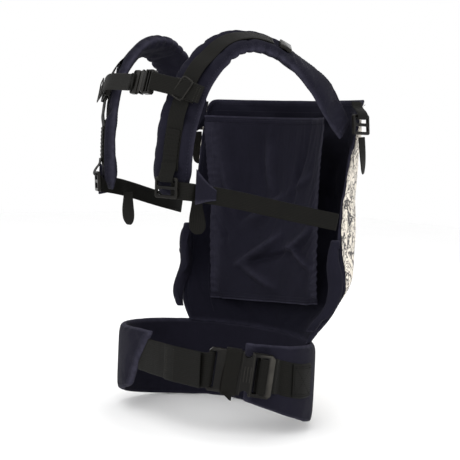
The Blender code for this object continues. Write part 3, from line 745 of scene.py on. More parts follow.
def moulded(name, source, body, width, *extra):
    """A frame node's shape with rounded edges, standing for it."""
    work = bmesh.new()
    work.from_mesh(NODES[source].data)
    bmesh.ops.remove_doubles(work, verts=work.verts, dist=1e-6)
    bmesh.ops.dissolve_limit(work, angle_limit=math.radians(1.5), verts=work.verts, edges=work.edges)
    mesh = bpy.data.meshes.new(name)
    work.to_mesh(mesh)
    work.free()
    for face in mesh.polygons:
        face.material_index = 0
    obj = add_object(name, mesh, PLASTIC)
    edges = obj.modifiers.new("edges", "BEVEL")
    edges.width = width
    edges.segments = 3
    edges.limit_method = "ANGLE"
    edges.angle_limit = math.radians(28)
    edges.use_clamp_overlap = True
    edges.harden_normals = True
    return put(obj, body, "black_plastic", source, *extra)


def rounded_block(name, matrix, low, high, round_by, body):
    """A raised detail on a moulding, with soft edges, in the moulding's own frame."""
    work = bmesh.new()
    bmesh.ops.create_cube(work, size=1.0)
    for vert in work.verts:
        vert.co = Vector([mix(low[k], high[k], vert.co[k] + 0.5) for k in range(3)])
    bmesh.ops.bevel(work, geom=work.edges, offset=round_by, segments=3, affect="EDGES", profile=0.5)
    work.transform(matrix)
    mesh = bpy.data.meshes.new(name)
    work.to_mesh(mesh)
    work.free()
    return put(add_object(name, mesh, PLASTIC), body, "black_plastic")


# ---------------------------------------------------------------- waist belt

BELT_ROWS = 150
BELT_CELLS = 22


def make_belt():
    section = pad_section(BELT_CELLS, 5.0)
    rows = []
    wear_and_highlight = []
    held = []
    half = 0.5 * BELT_THICKNESS - 0.0012
    for i in range(BELT_ROWS + 1):
        u = i / BELT_ROWS
        ends = min(u, 1 - u) * BELT_ROWS
        thin = 0.35 + 0.65 * math.sqrt(smooth(ends / 4.0))
        row = []
        for x, z in section:
            v = 0.5 + 0.5 * x
            row.append(belt_place(u, v, 0.5 * BELT_THICKNESS + half * z * thin))
            edge = abs(x) > 0.999 or ends < 0.5
            held.append(1.0 if edge else 0.06)
            wear_and_highlight.append(1.2 * smooth((abs(x) - 0.90) / 0.10) + smooth(1 - ends / 3))
        rows.append(row)
    belt = grid_object("belt_pad", rows, NAVY, ring=True, caps=True)
    set_wear_and_highlight(belt, wear_and_highlight)
    settle(belt, held, pressure=3.0, growth=0.022, limit=0.0024)
    subdivide(belt)
    put(belt, "carrier", "navy_canvas", "belt_cover", "belt_lining", "belt_foam")
    surface = tree_of(belt)
    runs = []
    for inset in (0.035, 0.965):
        for lift in (BELT_THICKNESS, 0.0):
            run = []
            for i in range(2, BELT_ROWS - 1):
                u = i / BELT_ROWS
                angle = mix(BELT_RIGHT_END, BELT_LEFT_END, u)
                out = waist_normal(angle) * (1 if lift else -1)
                run.append((belt_place(u, inset, lift), out))
            runs.append(run)
    for u, lift in ((0.012, BELT_THICKNESS), (0.985, BELT_THICKNESS), (0.012, 0.0), (0.985, 0.0)):
        angle = mix(BELT_RIGHT_END, BELT_LEFT_END, u)
        out = waist_normal(angle) * (1 if lift else -1)
        runs.append([(belt_place(u, mix(0.05, 0.95, j / 20), lift), out) for j in range(21)])
    stitches("belt_stitching", runs, "carrier", "navy_canvas", trees=[surface])


def webbing_place(angle, height, lift):
    """A place at a height from the waist webbing's middle line, and the direction out of the waist there."""
    return waist_point(angle, webbing_middle(angle) + height, lift), waist_normal(angle)


def wide_strip(name, at, cells, *replaced):
    webbing = strip(name, at, cells, WIDE_WEBBING, across=14, power=9.0)
    return put(webbing, "carrier", "black_webbing", *replaced)


def buckle_frame():
    """The waist buckle's own frame: x along the webbing, z out of the waist."""
    outward = waist_normal(BUCKLE_ANGLE)
    along = Vector((-outward.y, outward.x, -BUCKLE_SLOPE))
    centre = waist_point(BUCKLE_ANGLE, BUCKLE_HEIGHT, 0.0) + outward * BUCKLE_LIFT
    return frame_at(centre, along, outward)


def local_path(matrix, points):
    return [matrix @ Vector(p) for p in points]


ON_PAD = BELT_THICKNESS + 0.0003
SEWN_ANGLES = (-70.0, -77.0, -84.0, -91.0, -97.0, -101.0)
FOLD_START = -71.0
FOLD_END = -90.5
FOLD_HALF_WIDTH = WAIST_WEBBING / 2 - 0.0012
BOX_START = -72.0
BOX_END = -89.0
BOX_HALF_HEIGHT = 0.0210
BOX_ROW_GAP = 0.003
LEFT_START = 169.0
LEFT_END = 220.7
TAIL_START = 194.0
TAIL_END = 217.0
MALE_BAR_LIFT = BUCKLE_LIFT + 0.0152


def make_right_webbing(matrix):
    """Sewn flat on the right pad, then up through the buckle's end slot and down through the next one."""
    across = (matrix.to_3x3() @ Vector((0, 1, 0))).normalized()
    places = [waist_point(angle, webbing_middle(angle), ON_PAD) for angle in SEWN_ANGLES]
    normals = [waist_normal(angle) for angle in SEWN_ANGLES]
    loop = ((0.0475, 0, -0.0115), (0.0420, 0, -0.0085), (0.0378, 0, -0.0020), (0.0350, 0, 0.0058),
            (0.0322, 0, 0.0068), (0.0280, 0, 0.0058), (0.0250, 0, -0.0020), (0.0225, 0, -0.0095))
    places += local_path(matrix, loop)
    turns = ((0.2, 0, 1.0), (0.7, 0, 0.8), (1.0, 0, 0.25), (0.6, 0, 0.9),
             (0.0, 0, 1.0), (-0.6, 0, 0.8), (-1.0, 0, 0.2), (-0.9, 0, 0.3))
    normals += [matrix.to_3x3() @ Vector(n) for n in turns]

    def at(u):
        side = Vector((0, 0, 1)).lerp(across, smooth((u - 0.34) / 0.15)).normalized()
        normal = side.cross(direction_at(places, u, 0.01))
        if normal.dot(spline(normals, u)) < 0:
            normal = -normal
        return spline(places, u), side, normal, WAIST_WEBBING / 2
    wide_strip("waist_webbing_right_strap", at, 110, "waist_webbing_right")


def make_boxed_fold():
    """The webbing's end, folded back on itself and sewn down with a box and a cross."""
    def at(u):
        place, out = webbing_place(mix(FOLD_START, FOLD_END, u), 0.0, ON_PAD + WEBBING_THICKNESS + 0.0001)
        return place, Vector((0, 0, 1)), out, FOLD_HALF_WIDTH
    fold = strip("waist_webbing_right_fold", at, 40, WIDE_WEBBING, thickness=0.0014, across=14, power=9.0)
    put(fold, "carrier", "black_webbing")

    edge = BOX_HALF_HEIGHT
    steps = [k / 14 for k in range(15)]

    def sewn(u, height):
        return webbing_place(mix(BOX_START, BOX_END, u), height, ON_PAD)
    runs = [[sewn(u, h) for u in steps] for h in (edge, edge - BOX_ROW_GAP, -edge, BOX_ROW_GAP - edge)]
    runs += [[sewn(u, mix(-edge, edge, k / 10)) for k in range(11)] for u in (0.0, 1.0)]
    runs += [[sewn(u, s * mix(-edge, edge, u)) for u in steps] for s in (1, -1)]
    stitches("box_stitching_right", runs, "carrier", "black_webbing", BOX_THREAD,
             trees=[tree_of(fold)], tight=0.72, heavy=2.3)


def make_left_webbing(matrix):
    """From under the left pad's end, across to the male half's bar, over it and down through its slot."""
    turned = matrix.to_3x3()
    across = (turned @ Vector((0, 1, 0))).normalized()
    out = (turned @ Vector((0, 0, 1))).normalized()
    places = []
    for k in range(9):
        u = k / 8 * 0.955
        angle = mix(LEFT_START, LEFT_END, u)
        lift = mix(0.006, MALE_BAR_LIFT, u) - 0.009 * 4 * u * (1 - u)
        places.append(waist_point(angle, webbing_middle(angle), lift))
    fold = ((-0.0425, 0, 0.0072), (-0.0395, 0, 0.0050), (-0.0378, 0, -0.0010), (-0.0370, 0, -0.0085))
    places += local_path(matrix, fold)

    def at(u):
        side = Vector((0, 0, 1)).lerp(across, smooth((u - 0.4) / 0.35)).normalized()
        normal = direction_at(places, u, 0.01).cross(side)
        return spline(places, u), side, -normal if normal.dot(out) < -0.3 else normal, WAIST_WEBBING / 2
    wide_strip("waist_webbing_left_strap", at, 90, "waist_webbing_left")


def make_waist_tail():
    """The webbing's loose end, lying back over itself, with its tip's stitching."""
    def lift(u):
        return mix(0.0161, MALE_BAR_LIFT + 0.0003, u) - 0.002 * 4 * u * (1 - u) + 0.0010 * math.sin(7 * u)

    def at(u):
        place, out = webbing_place(mix(TAIL_START, TAIL_END, u), 0.0, lift(u))
        return place, Vector((0, 0, 1)), out, WAIST_WEBBING / 2
    tail = wide_strip("waist_webbing_tail_strap", at, 40, "waist_webbing_tail")
    runs = []
    for u in (0.06, 0.10, 0.30):
        angle = mix(TAIL_START, TAIL_END, u)
        runs.append([webbing_place(angle, mix(-0.023, 0.023, k / 12), lift(u) + 0.002) for k in range(13)])
    stitches("tail_stitching", runs, "carrier", "black_webbing", DARK_THREAD,
             trees=[tree_of(tail)], tight=0.8)


def make_keeper(matrix):
    """Elastic band round the buckle's joint: a gathered sleeve with a loose folded corner underneath."""
    rows = []
    start, end = -0.0225, -0.0015
    reach, rise = 0.0310, 0.0072
    wall = 0.0007
    steps = 34
    for i in range(13):
        x = mix(start, end, i / 12)
        row = []
        for k in range(steps):
            a = 2 * math.pi * k / steps
            c, s = math.cos(a), math.sin(a)
            y = (reach + wall) * math.copysign(abs(c) ** 0.45, c)
            z = (rise + wall) * math.copysign(abs(s) ** 0.30, s)
            gather = 0.00035 * math.sin(k * 2.1) + 0.0004 * ripple((x, y, z), 160.0)
            row.append(matrix @ Vector((x + 0.0008 * math.sin(y * 90), y, z + gather)))
        rows.append(row)
    band = grid_object("buckle_keeper_band", rows, ELASTIC, ring=True)
    thicken(band, 0.0012)
    put(band, "carrier", "black_webbing", "waist_buckle_keeper")
    corner = []
    for i in range(9):
        t = i / 8
        width = mix(0.0080, 0.0012, t ** 0.8)
        middle = Vector((mix(-0.0140, -0.0080, t), mix(-0.0290, -0.0385, t), 0.0070 - 0.003 * t))
        across = [Vector((width * (2 * j / 6 - 1), 0.0, 0.0006 * math.sin(j + 3 * t))) for j in range(7)]
        corner.append([matrix @ (middle + step) for step in across])
    flap = grid_object("keeper_corner", corner, ELASTIC)
    thicken(flap, 0.0014)
    put(flap, "carrier", "black_webbing")


def make_waist_buckle(matrix):
    moulded("waist_female_shell", "waist_buckle_female", "carrier", 0.0011)
    moulded("waist_male_frame", "waist_buckle_male", "carrier", 0.0010)
    moulded("waist_tongue_bar", "waist_buckle_tongue", "carrier", 0.0005)
    moulded("waist_prong_upper_arm", "waist_buckle_prong_upper", "waist_prong_upper", 0.0007)
    moulded("waist_prong_lower_arm", "waist_buckle_prong_lower", "waist_prong_lower", 0.0007)
    for k in range(3):
        x = 0.0050 + 0.0042 * k
        name = "waist_female_rib_%d" % (k + 1)
        rounded_block(name, matrix, (x, -0.0105, 0.0066), (x + 0.0014, 0.0105, 0.0080), 0.00045, "carrier")


# ---------------------------------------------------------------- panel

PANEL_ROWS = 88
PANEL_CELLS = 42


def make_panel():
    """The seat panel: a thin padded shell, navy inside, with the printed cloth laid over its front."""
    section = pad_section(PANEL_CELLS, 12.0)
    rows = []
    held = []
    wear_and_highlight = []
    half = 0.5 * PANEL_THICKNESS - 0.0010
    for i in range(PANEL_ROWS + 1):
        u = i / PANEL_ROWS
        ends = min(u, 1 - u) * PANEL_ROWS
        thin = 0.45 + 0.55 * math.sqrt(smooth(ends / 2.0))
        row = []
        for x, z in section:
            v = mix(-0.016, 1.0, 0.5 + 0.5 * x)
            wave = 0.0012 * ripple(panel_place(u, v, 0.0), 26.0, 3.0)
            row.append(panel_place(u, v, 0.5 * PANEL_THICKNESS + half * z * thin + wave))
            edge = abs(x) > 0.999 or ends < 0.5
            held.append(1.0 if edge else 0.05)
            wear_and_highlight.append(smooth((abs(x) - 0.955) / 0.045) + smooth(1 - ends / 2.0))
        rows.append(row)
    body = grid_object("panel_shell", rows, NAVY_LINING, ring=True, caps=True)
    set_wear_and_highlight(body, wear_and_highlight)
    settle(body, held, pressure=1.6, growth=0.020, limit=0.0030)
    width = 2 * PANEL_CELLS
    points = coordinates(body.data).reshape(PANEL_ROWS + 1, width, 3)
    subdivide(body)
    put(body, "carrier", "navy_canvas", "panel_lining", "panel_padding")

    front = cut_front(points[:, 0:PANEL_CELLS + 1])
    along = np.gradient(front, axis=0)
    up = np.gradient(front, axis=1)
    out = np.cross(along, up)
    out /= np.linalg.norm(out, axis=2, keepdims=True)
    centre = np.array([0.0, -0.06, 0.0])
    facing = front - centre
    facing[:, :, 2] = 0.0
    out *= np.sign((out * facing).sum(axis=2, keepdims=True))
    lifted = front + out * 0.0009
    sheet = grid_object("panel_front_print", lifted.tolist(), PRINT)
    thicken(sheet, 0.0006)
    put(sheet, "carrier", "cream_print", "panel_print")
    seams = (("panel_front_stitching", "cream_print", sheet, PANEL_THICKNESS, 1, (0.028, 0.972)),
             ("panel_lining_stitching", "navy_canvas", body, 0.0, -1, (0.028, 0.972, 0.16, 0.84)))
    for name, slot, surface, lift, face, uprights in seams:
        runs = []

        def sewn(u, v):
            return panel_place(u, v, lift), out_of_panel(u, v) * face
        runs += [[sewn(i / 80, v) for i in range(2, 79)] for v in (0.975, 0.945)]
        runs += [[sewn(u, j / 60) for j in range(2, 58)] for u in uprights]
        stitches(name, runs, "carrier", slot, trees=[tree_of(surface)])


def cut_front(grid):
    """The printed cloth's points: it stops short of the sides where the leg openings are bound in navy."""
    count, height = grid.shape[:2]
    cut = np.zeros((count - 2, height - 5, 3))
    for i in range(count - 2):
        corner = smooth((abs(2 * i / (count - 3) - 1) - 0.86) / 0.10)
        top = height - 1 - mix(3.2, 0.6, corner)
        for j in range(height - 5):
            along = mix(2.0, top, j / (height - 6))
            below = min(int(along), height - 2)
            inset = 0.012 + 0.055 * smooth((0.30 - along / (height - 1)) / 0.12)
            place = mix(inset, 1 - inset, i / (count - 3)) * (count - 1)
            low = min(int(place), count - 2)
            first = mix(grid[low, below], grid[low + 1, below], place - low)
            second = mix(grid[low, below + 1], grid[low + 1, below + 1], place - low)
            cut[i, j] = mix(first, second, along - below)
    return cut


def out_of_panel(u, v):
    return (panel_place(u, v, 0.010) - panel_place(u, v, 0.0)).normalized()


def make_leg_pads():
    section = pad_section(12, 2.2)
    for name, edge, outward in (("right", 0.0, -1), ("left", 1.0, 1)):
        rows = []
        held = []
        steps = 44
        places = []
        for i in range(steps + 1):
            v = mix(LEG_PAD_LOW, LEG_PAD_HIGH, i / steps)
            places.append((panel_place(edge, v, 0.0) + panel_place(edge, v, PANEL_THICKNESS)) / 2)
        for _ in range(30):
            places[1:-1] = [(a + 2 * b + c) / 4 for a, b, c in zip(places, places[1:], places[2:])]
        for i in range(steps + 1):
            t = i / steps
            v = mix(LEG_PAD_LOW, LEG_PAD_HIGH, t)
            inner = panel_place(edge, v, 0.0)
            across = inner - panel_place(abs(edge - 0.03), v, 0.0)
            across.z = 0.0
            across.normalize()
            face = Vector((-across.y, across.x, 0.0)) * outward
            full = 0.30 + 0.70 * math.sin(math.pi * mix(0.03, 0.97, t)) ** 0.5
            reach = LEG_PAD_REACH * full
            half = 0.5 * LEG_PAD_THICKNESS * (0.45 + 0.55 * full)
            start = places[i] + across * (LEG_PAD_CLEAR - LEG_PAD_NESTLE) + face * (LEG_PAD_SHIFT * (1 - t))
            row = []
            for x, z in section:
                row.append(start + across * (reach / 2 * (1 + x)) + face * (half * z * 0.94))
                held.append(1.0 if x < -0.999 or i in (0, steps) else 0.03)
            rows.append(row)
        pad = grid_object("leg_roll_" + name, rows, NAVY, ring=True, caps=True)
        set_wear_and_highlight(pad, [0.6 * h for h in held])
        settle(pad, held, pressure=5.0, growth=0.05, limit=0.0028)
        subdivide(pad)
        put(pad, "carrier", "navy_canvas", "leg_pad_" + name)


# ---------------------------------------------------------------- hood

HOOD_ROWS = 110
HOOD_CELLS = 90
HOOD_FOLDS = (
    # start and end of a soft fold as (x, z), its height and its half width
    ((-0.010, 0.262), (0.088, 0.196), 0.0110, 0.0060),
    ((0.020, 0.240), (0.104, 0.186), -0.0070, 0.0050),
    ((-0.020, 0.205), (0.070, 0.150), 0.0090, 0.0060),
    ((-0.050, 0.182), (0.040, 0.158), -0.0065, 0.0050),
    ((-0.098, 0.218), (-0.030, 0.178), 0.0085, 0.0055),
    ((-0.104, 0.160), (-0.040, 0.190), 0.0070, 0.0050),
    ((0.060, 0.150), (-0.020, 0.122), 0.0070, 0.0070),
    ((0.035, 0.350), (0.015, 0.262), 0.0060, 0.0090),
    ((-0.060, 0.340), (-0.030, 0.250), -0.0055, 0.0090),
    ((0.110, 0.330), (0.080, 0.230), 0.0060, 0.0080),
    ((-0.090, 0.300), (-0.020, 0.268), 0.0050, 0.0060),
)


def fold_height(x, z):
    total = 0.0
    for start, end, height, spread in HOOD_FOLDS:
        a = Vector(start)
        b = Vector(end)
        axis = b - a
        t = max(0.0, min(1.0, (Vector((x, z)) - a).dot(axis) / axis.length_squared))
        gap = (Vector((x, z)) - (a + axis * t)).length
        total += 1.5 * height * math.exp(-(gap / spread) ** 2) * math.sin(math.pi * mix(0.12, 0.88, t))
    return total


def make_hood():
    """The hood hangs in the panel from its top edge: one sheet, hemmed, with elastic in its side edges."""
    rows = []
    held = []
    wear_and_highlight = []
    for i in range(HOOD_ROWS + 1):
        v = i / HOOD_ROWS
        row = []
        for j in range(HOOD_CELLS + 1):
            u = j / HOOD_CELLS
            place = hood_place(u, v)
            gathers = smooth(1.3 - min(u, 1 - u) / 0.09)
            wave = math.sin(v * 150.0 + 2.5 * math.sin(9 * v) + 6.0 * ripple(place, 12.0, 2.0))
            uneven = 0.55 + 0.9 * ripple((place.x, 0.0, place.z), 16.0, 4.0)
            place.x *= 1 - 0.028 * gathers
            place.y += 0.0015 * gathers * wave * uneven
            place.y += 0.0022 * ripple(place, 26.0, 5.0) + 0.0012 * ripple(place, 70.0, 8.0)
            place.y += fold_height(place.x, place.z)
            row.append(place)
            held.append(max(smooth((v - 0.93) / 0.07), 0.35 * gathers, 0.02))
            hems = 0.8 * smooth(1 - v / 0.03) + 0.6 * smooth((v - 0.97) / 0.03)
            # Painted highlight: the fold crests are made paler, standing in for the light that falls on them
            painted_crest_highlight = smooth(fold_height(place.x, place.z) / 0.012)
            wear_and_highlight.append(hems + 0.4 * gathers + 0.38 * painted_crest_highlight)
        rows.append(row)
    hood = grid_object("hood_cloth", rows, NAVY)
    set_wear_and_highlight(hood, wear_and_highlight)
    settle(hood, held, pressure=0.0, growth=0.018, limit=0.0035, frames=20, gravity=0.3, bending=0.4)
    points = coordinates(hood.data).reshape(HOOD_ROWS + 1, HOOD_CELLS + 1, 3)
    thicken(hood, 0.0010)
    put(hood, "carrier", "navy_canvas", "hood")

    hem = hood_band("hood_hem", points, 1, 4)
    top = hood_band("hood_top_band", points, HOOD_ROWS - 4, HOOD_ROWS - 1)
    towards = Vector((0, 1, 0))
    rows = (2, 4, HOOD_ROWS - 4, HOOD_ROWS - 2)
    runs = [[(points[i, j], towards) for j in range(2, HOOD_CELLS - 1)] for i in rows]
    runs += [[(points[i, j], towards) for i in range(5, HOOD_ROWS - 5)] for j in (3, HOOD_CELLS - 3)]
    stitches("hood_stitching", runs, "carrier", "navy_canvas", trees=[tree_of(p) for p in (hem, top, hood)])


def hood_band(name, points, low, high):
    """A doubled band of cloth on the hood, between two of its rows."""
    part = points[low:high + 1].copy()
    up = np.gradient(part, axis=0)
    side = np.gradient(part, axis=1)
    out = np.cross(side, up)
    out /= np.linalg.norm(out, axis=2, keepdims=True)
    out *= np.sign(out[:, :, 1:2])
    band = grid_object(name, (part + out * 0.0009).tolist(), NAVY)
    return put(thicken(band, 0.0009), "carrier", "navy_canvas")


# ---------------------------------------------------------------- shoulder straps

STRAP_ROWS = 190
STRAP_CELLS = 15
PUCKERS = (
    # place along the strap, edge and share of the full depth
    (0.30, -1, 1.0), (0.355, -1, 0.5), (0.40, -1, 0.9), (0.445, -1, 0.4), (0.49, -1, 1.0), (0.53, -1, 0.5),
    (0.575, -1, 0.6), (0.62, -1, 0.4), (0.32, 1, 0.6), (0.37, 1, 1.0), (0.425, 1, 1.0), (0.475, 1, 0.5),
    (0.52, 1, 0.7), (0.565, 1, 0.4), (0.61, 1, 0.6),
)
PUCKER_DEPTH = 0.0048
PUCKER_LENGTH = 0.0080


def pucker_depth(t, x):
    """How far a strap's edge is drawn in at t, where the cover is caught in its seam on the bend."""
    total = 0.0
    for place, edge, deep in PUCKERS:
        near = math.exp(-((t - place) / PUCKER_LENGTH) ** 2)
        total += PUCKER_DEPTH * deep * near * smooth((x * edge - 0.55) / 0.45)
    return total


def make_strap(name, side):
    """A shoulder pad: two plump lobes beside a valley for the rail webbing, drawn in at its seams."""
    section = pad_section(STRAP_CELLS, 2.6)
    rows = []
    held = []
    wear_and_highlight = []
    for i in range(STRAP_ROWS + 1):
        t = i / STRAP_ROWS
        point, _, across, normal = strap_frame(side, t)
        ends = min(i, (STRAP_ROWS - i) * 0.8)
        thin = 0.42 + 0.58 * math.sqrt(smooth(ends / 7.0))
        half = 0.5 * STRAP_THICKNESS * thin - 0.0010
        wide = strap_half_width(t) * 0.988
        valley = smooth((t - RAIL_START + 0.08) / 0.06) * smooth((1.02 - t) / 0.06)
        clear = smooth((abs(t - CHEST_T) - 0.055) / 0.03) * 1.35 - 0.35
        row = []
        for x, z in section:
            pull = pucker_depth(t, x)
            lift = half * z * (1 - 0.40 * pull / PUCKER_DEPTH)
            if z > 0:
                lobe = 0.0026 * math.exp(-((abs(x) - 0.62) / 0.20) ** 2)
                lift += valley * (lobe * clear - 0.0024 * math.exp(-(x / 0.42) ** 4))
            row.append(point + across * (x * wide - math.copysign(pull, x)) + normal * lift)
            edge = abs(x) > 0.999 or i in (0, STRAP_ROWS)
            held.append(1.0 if edge else 0.05)
            wear_and_highlight.append(0.9 * smooth((abs(x) - 0.88) / 0.12))
        rows.append(row)
    pad = grid_object("shoulder_pad_" + name, rows, NAVY, ring=True, caps=True)
    set_wear_and_highlight(pad, wear_and_highlight)
    settle(pad, held, pressure=4.0, growth=0.040, limit=0.0026)
    subdivide(pad)
    put(pad, "carrier", "navy_canvas", "strap_cover_" + name, "strap_foam_" + name, "strap_lining_" + name)

    def sewn(t, shift, face):
        point, _, across, normal = strap_frame(side, t)
        return point + across * (shift * strap_half_width(t)) + normal * (0.007 * face), normal * face
    runs = [[sewn(i / STRAP_ROWS, shift, face) for i in range(4, STRAP_ROWS - 3)]
            for shift in (-0.80, 0.80) for face in (1, -1)]
    runs += [[sewn(t, 0.9 * (k / 6 - 1), 1) for k in range(13)] for t in (0.018, 0.034)]
    stitches("strap_stitching_" + name, runs, "carrier", "navy_canvas", trees=[tree_of(pad)])
    make_rail(name, side)


def rail_lift(t):
    """The rail webbing's inner face above the pad: sewn down at both ends and where it is tacked."""
    run = smooth((t - CHEST_T + 0.10) / 0.04) * smooth((CHEST_T + 0.10 - t) / 0.04)
    return STRAP_THICKNESS / 2 + mix(0.0006, RAIL_LIFT, run)


DOUBLED_START = 0.835
DOUBLED_END = 0.930


def make_rail(name, side):
    """Webbing down the pad's outer face, with a second, heavily ribbed layer below the chest strap."""
    def at(u):
        t = mix(RAIL_START, RAIL_END, u)
        point, _, across, normal = strap_frame(side, t)
        return point + normal * rail_lift(t), across, normal, SIDE_WEBBING / 2
    rail = strip("rail_%s_webbing" % name, at, 110, WEBBING, across=10, power=7.0)
    put(rail, "carrier", "black_webbing", "rail_webbing_" + name)

    def doubled_at(u):
        t = mix(DOUBLED_START, DOUBLED_END, u)
        point, _, across, normal = strap_frame(side, t)
        ribs = 0.00035 * math.sin(2 * math.pi * u * 9)
        lift = rail_lift(t) + WEBBING_THICKNESS + 0.0003 + ribs
        return point + normal * lift, across, normal, SIDE_WEBBING / 2 - 0.0016
    doubled = strip("rail_%s_doubled" % name, doubled_at, 72, WEBBING, 0.0015, 8, 6.0, 0.0)
    put(doubled, "carrier", "black_webbing")
    surface = tree_of(rail)
    runs = []
    for t in (RAIL_START + 0.008, RAIL_START + 0.014, RAIL_END - 0.008, RAIL_END - 0.014):
        point, _, across, normal = strap_frame(side, t)
        middle = point + normal * (rail_lift(t) + WEBBING_THICKNESS)
        runs.append([(middle + across * (SIDE_WEBBING * 0.45 * (k / 5 - 1)), normal) for k in range(11)])
    stitches("rail_tacks_" + name, runs, "carrier", "black_webbing", DARK_THREAD, trees=[surface], tight=0.55)


def lock_loop(name, hinge, along, normal, across, down):
    """Webbing sewn round a lock's bar: a loop that the bar turns in, and a leg down to what it is sewn on."""
    path = ((0.0030, -0.0018), (0.0034, 0.0006), (0.0020, 0.0034), (-0.0012, 0.0036),
            (-0.0060, 0.0010), (-0.0130, -0.75 * down), (-0.0210, -down))
    places = [hinge + along * forward + normal * up for forward, up in path]

    def at(u):
        out = across.cross(direction_at(places, u, 0.02))
        if out.dot(normal if u > 0.3 else along) < 0:
            out = -out
        return spline(places, u), across, out, 0.0115
    put(strip(name, at, 40, WEBBING, 0.0014, 8, 6.0, 0.0), "carrier", "black_webbing")


def make_side_strap(name, side):
    """The ladder lock, its webbing to the panel's edge, the cloth tab over that and the loose tail."""
    moulded("ladder_lock_%s_frame" % name, "ladder_lock_" + name, "ladder_lock_" + name, 0.0007)
    point, along, across, normal = strap_frame(side, LOCK_T)
    hinge = point + normal * (STRAP_THICKNESS / 2 + RAIL_LIFT + LOCK_LIFT)
    lock_loop("ladder_loop_" + name, hinge, along, normal, across, 0.0058)

    point, _, across, normal = strap_frame(side, SIDE_STRAP_T)
    lift = normal * (STRAP_THICKNESS / 2 + 0.0040)
    places = [point + lift + across * 0.004, point + lift + across * 0.031] + mirrored(SIDE_STRAP_ROUTE, side)
    normals = [normal, normal] + mirrored(SIDE_STRAP_FACING, side)
    at = ribbon_path(places, normals, SIDE_WEBBING)
    webbing = strip("side_%s_webbing" % name, at, 100, WEBBING, power=7.0)
    put(webbing, "carrier", "black_webbing", "side_webbing_" + name)

    tab = []
    for i in range(17):
        u = i / 16
        along_u = mix(TAB_START, TAB_END, u)
        middle = spline(places, along_u)
        direction = direction_at(places, along_u, 0.02)
        out = spline(normals, along_u)
        out = (out - out.dot(direction) * direction).normalized()
        row = []
        for j in range(13):
            v = j / 12
            height = mix(mix(-0.015, -0.006, u), mix(0.034, 0.008, u ** 0.8), v)
            bulge = 0.0007 * math.sin(math.pi * v) * math.sin(math.pi * u)
            bulge += 0.0004 * ripple((u, v, side), 4.0)
            lift = WEBBING_THICKNESS + TAB_CLEAR + 0.0010 + bulge
            row.append(middle + Vector((0, 0, height)) + out * lift)
        tab.append(row)
    sheet = grid_object("arm_tab_" + name, tab, NAVY)
    set_wear_and_highlight(sheet, [smooth(1 - min(j, 12 - j) / 2) for i in range(17) for j in range(13)])
    thicken(sheet, 0.0014)
    put(sheet, "carrier", "navy_canvas", "strap_tab_" + name)
    facing = mirrored(SIDE_STRAP_FACING, side)[0]
    runs = [[(tab[i][j], facing) for i in range(17)] for j in (1, 11)]
    stitches("tab_stitching_" + name, runs, "carrier", "navy_canvas", trees=[tree_of(sheet)])

    top = mirrored([SIDE_TAIL_TOP], side)[0]
    halfway = top + Vector((0.0, -0.001, -SIDE_TAIL_LENGTH / 2))
    end = top + Vector((0.0, -0.004, -SIDE_TAIL_LENGTH))
    facing = [SIDE_TAIL_FACING] * 3
    at = ribbon_path([top, halfway, end], facing, 0.024, round_from=0.72, twist=0.35 * side, waisted=0.35)
    tail = strip("side_tail_%s_webbing" % name, at, 26, WEBBING, power=7.0)
    put(tail, "side_tail_" + name, "black_webbing", "side_tail_" + name)


def make_corner_adjuster(name, side):
    moulded("corner_lock_%s_frame" % name, "corner_lock_" + name, "corner_lock_" + name, 0.0007)
    place = mirrored([CORNER_LOCK], side)[0]
    outward = Vector((1.0 * side, -0.04, 0.10)).normalized()
    along = Vector((0.0, 0.0, -1.0))
    along = (along - along.dot(outward) * outward).normalized()
    lock_loop("corner_loop_" + name, place, along, outward, along.cross(outward), 0.0075)
    start = place + Vector((0.002 * side, -0.001, -LOCK_LENGTH - 0.003))
    halfway = start + Vector((0.002 * side, -0.002, -CORNER_TAIL_LENGTH / 2))
    end = start + Vector((0.001 * side, -0.006, -CORNER_TAIL_LENGTH))
    facing = [outward] * 3
    at = ribbon_path([start, halfway, end], facing, 0.020, round_from=0.80, twist=0.5 * side, waisted=0.25)
    tail = strip("corner_tail_%s_webbing" % name, at, 26, WEBBING, power=7.0)
    put(tail, "corner_tail_" + name, "black_webbing", "corner_tail_" + name)


# ---------------------------------------------------------------- chest strap


def wire_ring(name, matrix, half_x, half_y, corner, wire, body):
    """A rounded rectangular ring of round wire section, flat in the matrix's XY plane."""
    rows = []
    steps = 56
    for i in range(steps):
        a = 2 * math.pi * i / steps
        c, s = math.cos(a), math.sin(a)
        x = half_x * math.copysign(abs(c) ** corner, c)
        y = half_y * math.copysign(abs(s) ** corner, s)
        out = Vector((x / half_x ** 2, y / half_y ** 2, 0.0)).normalized()
        middle = Vector((x, y, 0.0))
        turns = [2 * math.pi * k / 10 for k in range(10)]
        rows.append([matrix @ (middle + out * (wire * math.cos(b)) + Vector((0, 0, 0.8 * wire * math.sin(b))))
                     for b in turns])
    rows.append(rows[0])
    ring = grid_object(name, rows, PLASTIC, ring=True)
    work = bmesh.new()
    work.from_mesh(ring.data)
    bmesh.ops.remove_doubles(work, verts=work.verts, dist=1e-6)
    bmesh.ops.recalc_face_normals(work, faces=work.faces)
    work.to_mesh(ring.data)
    work.free()
    return put(ring, body, "black_plastic")


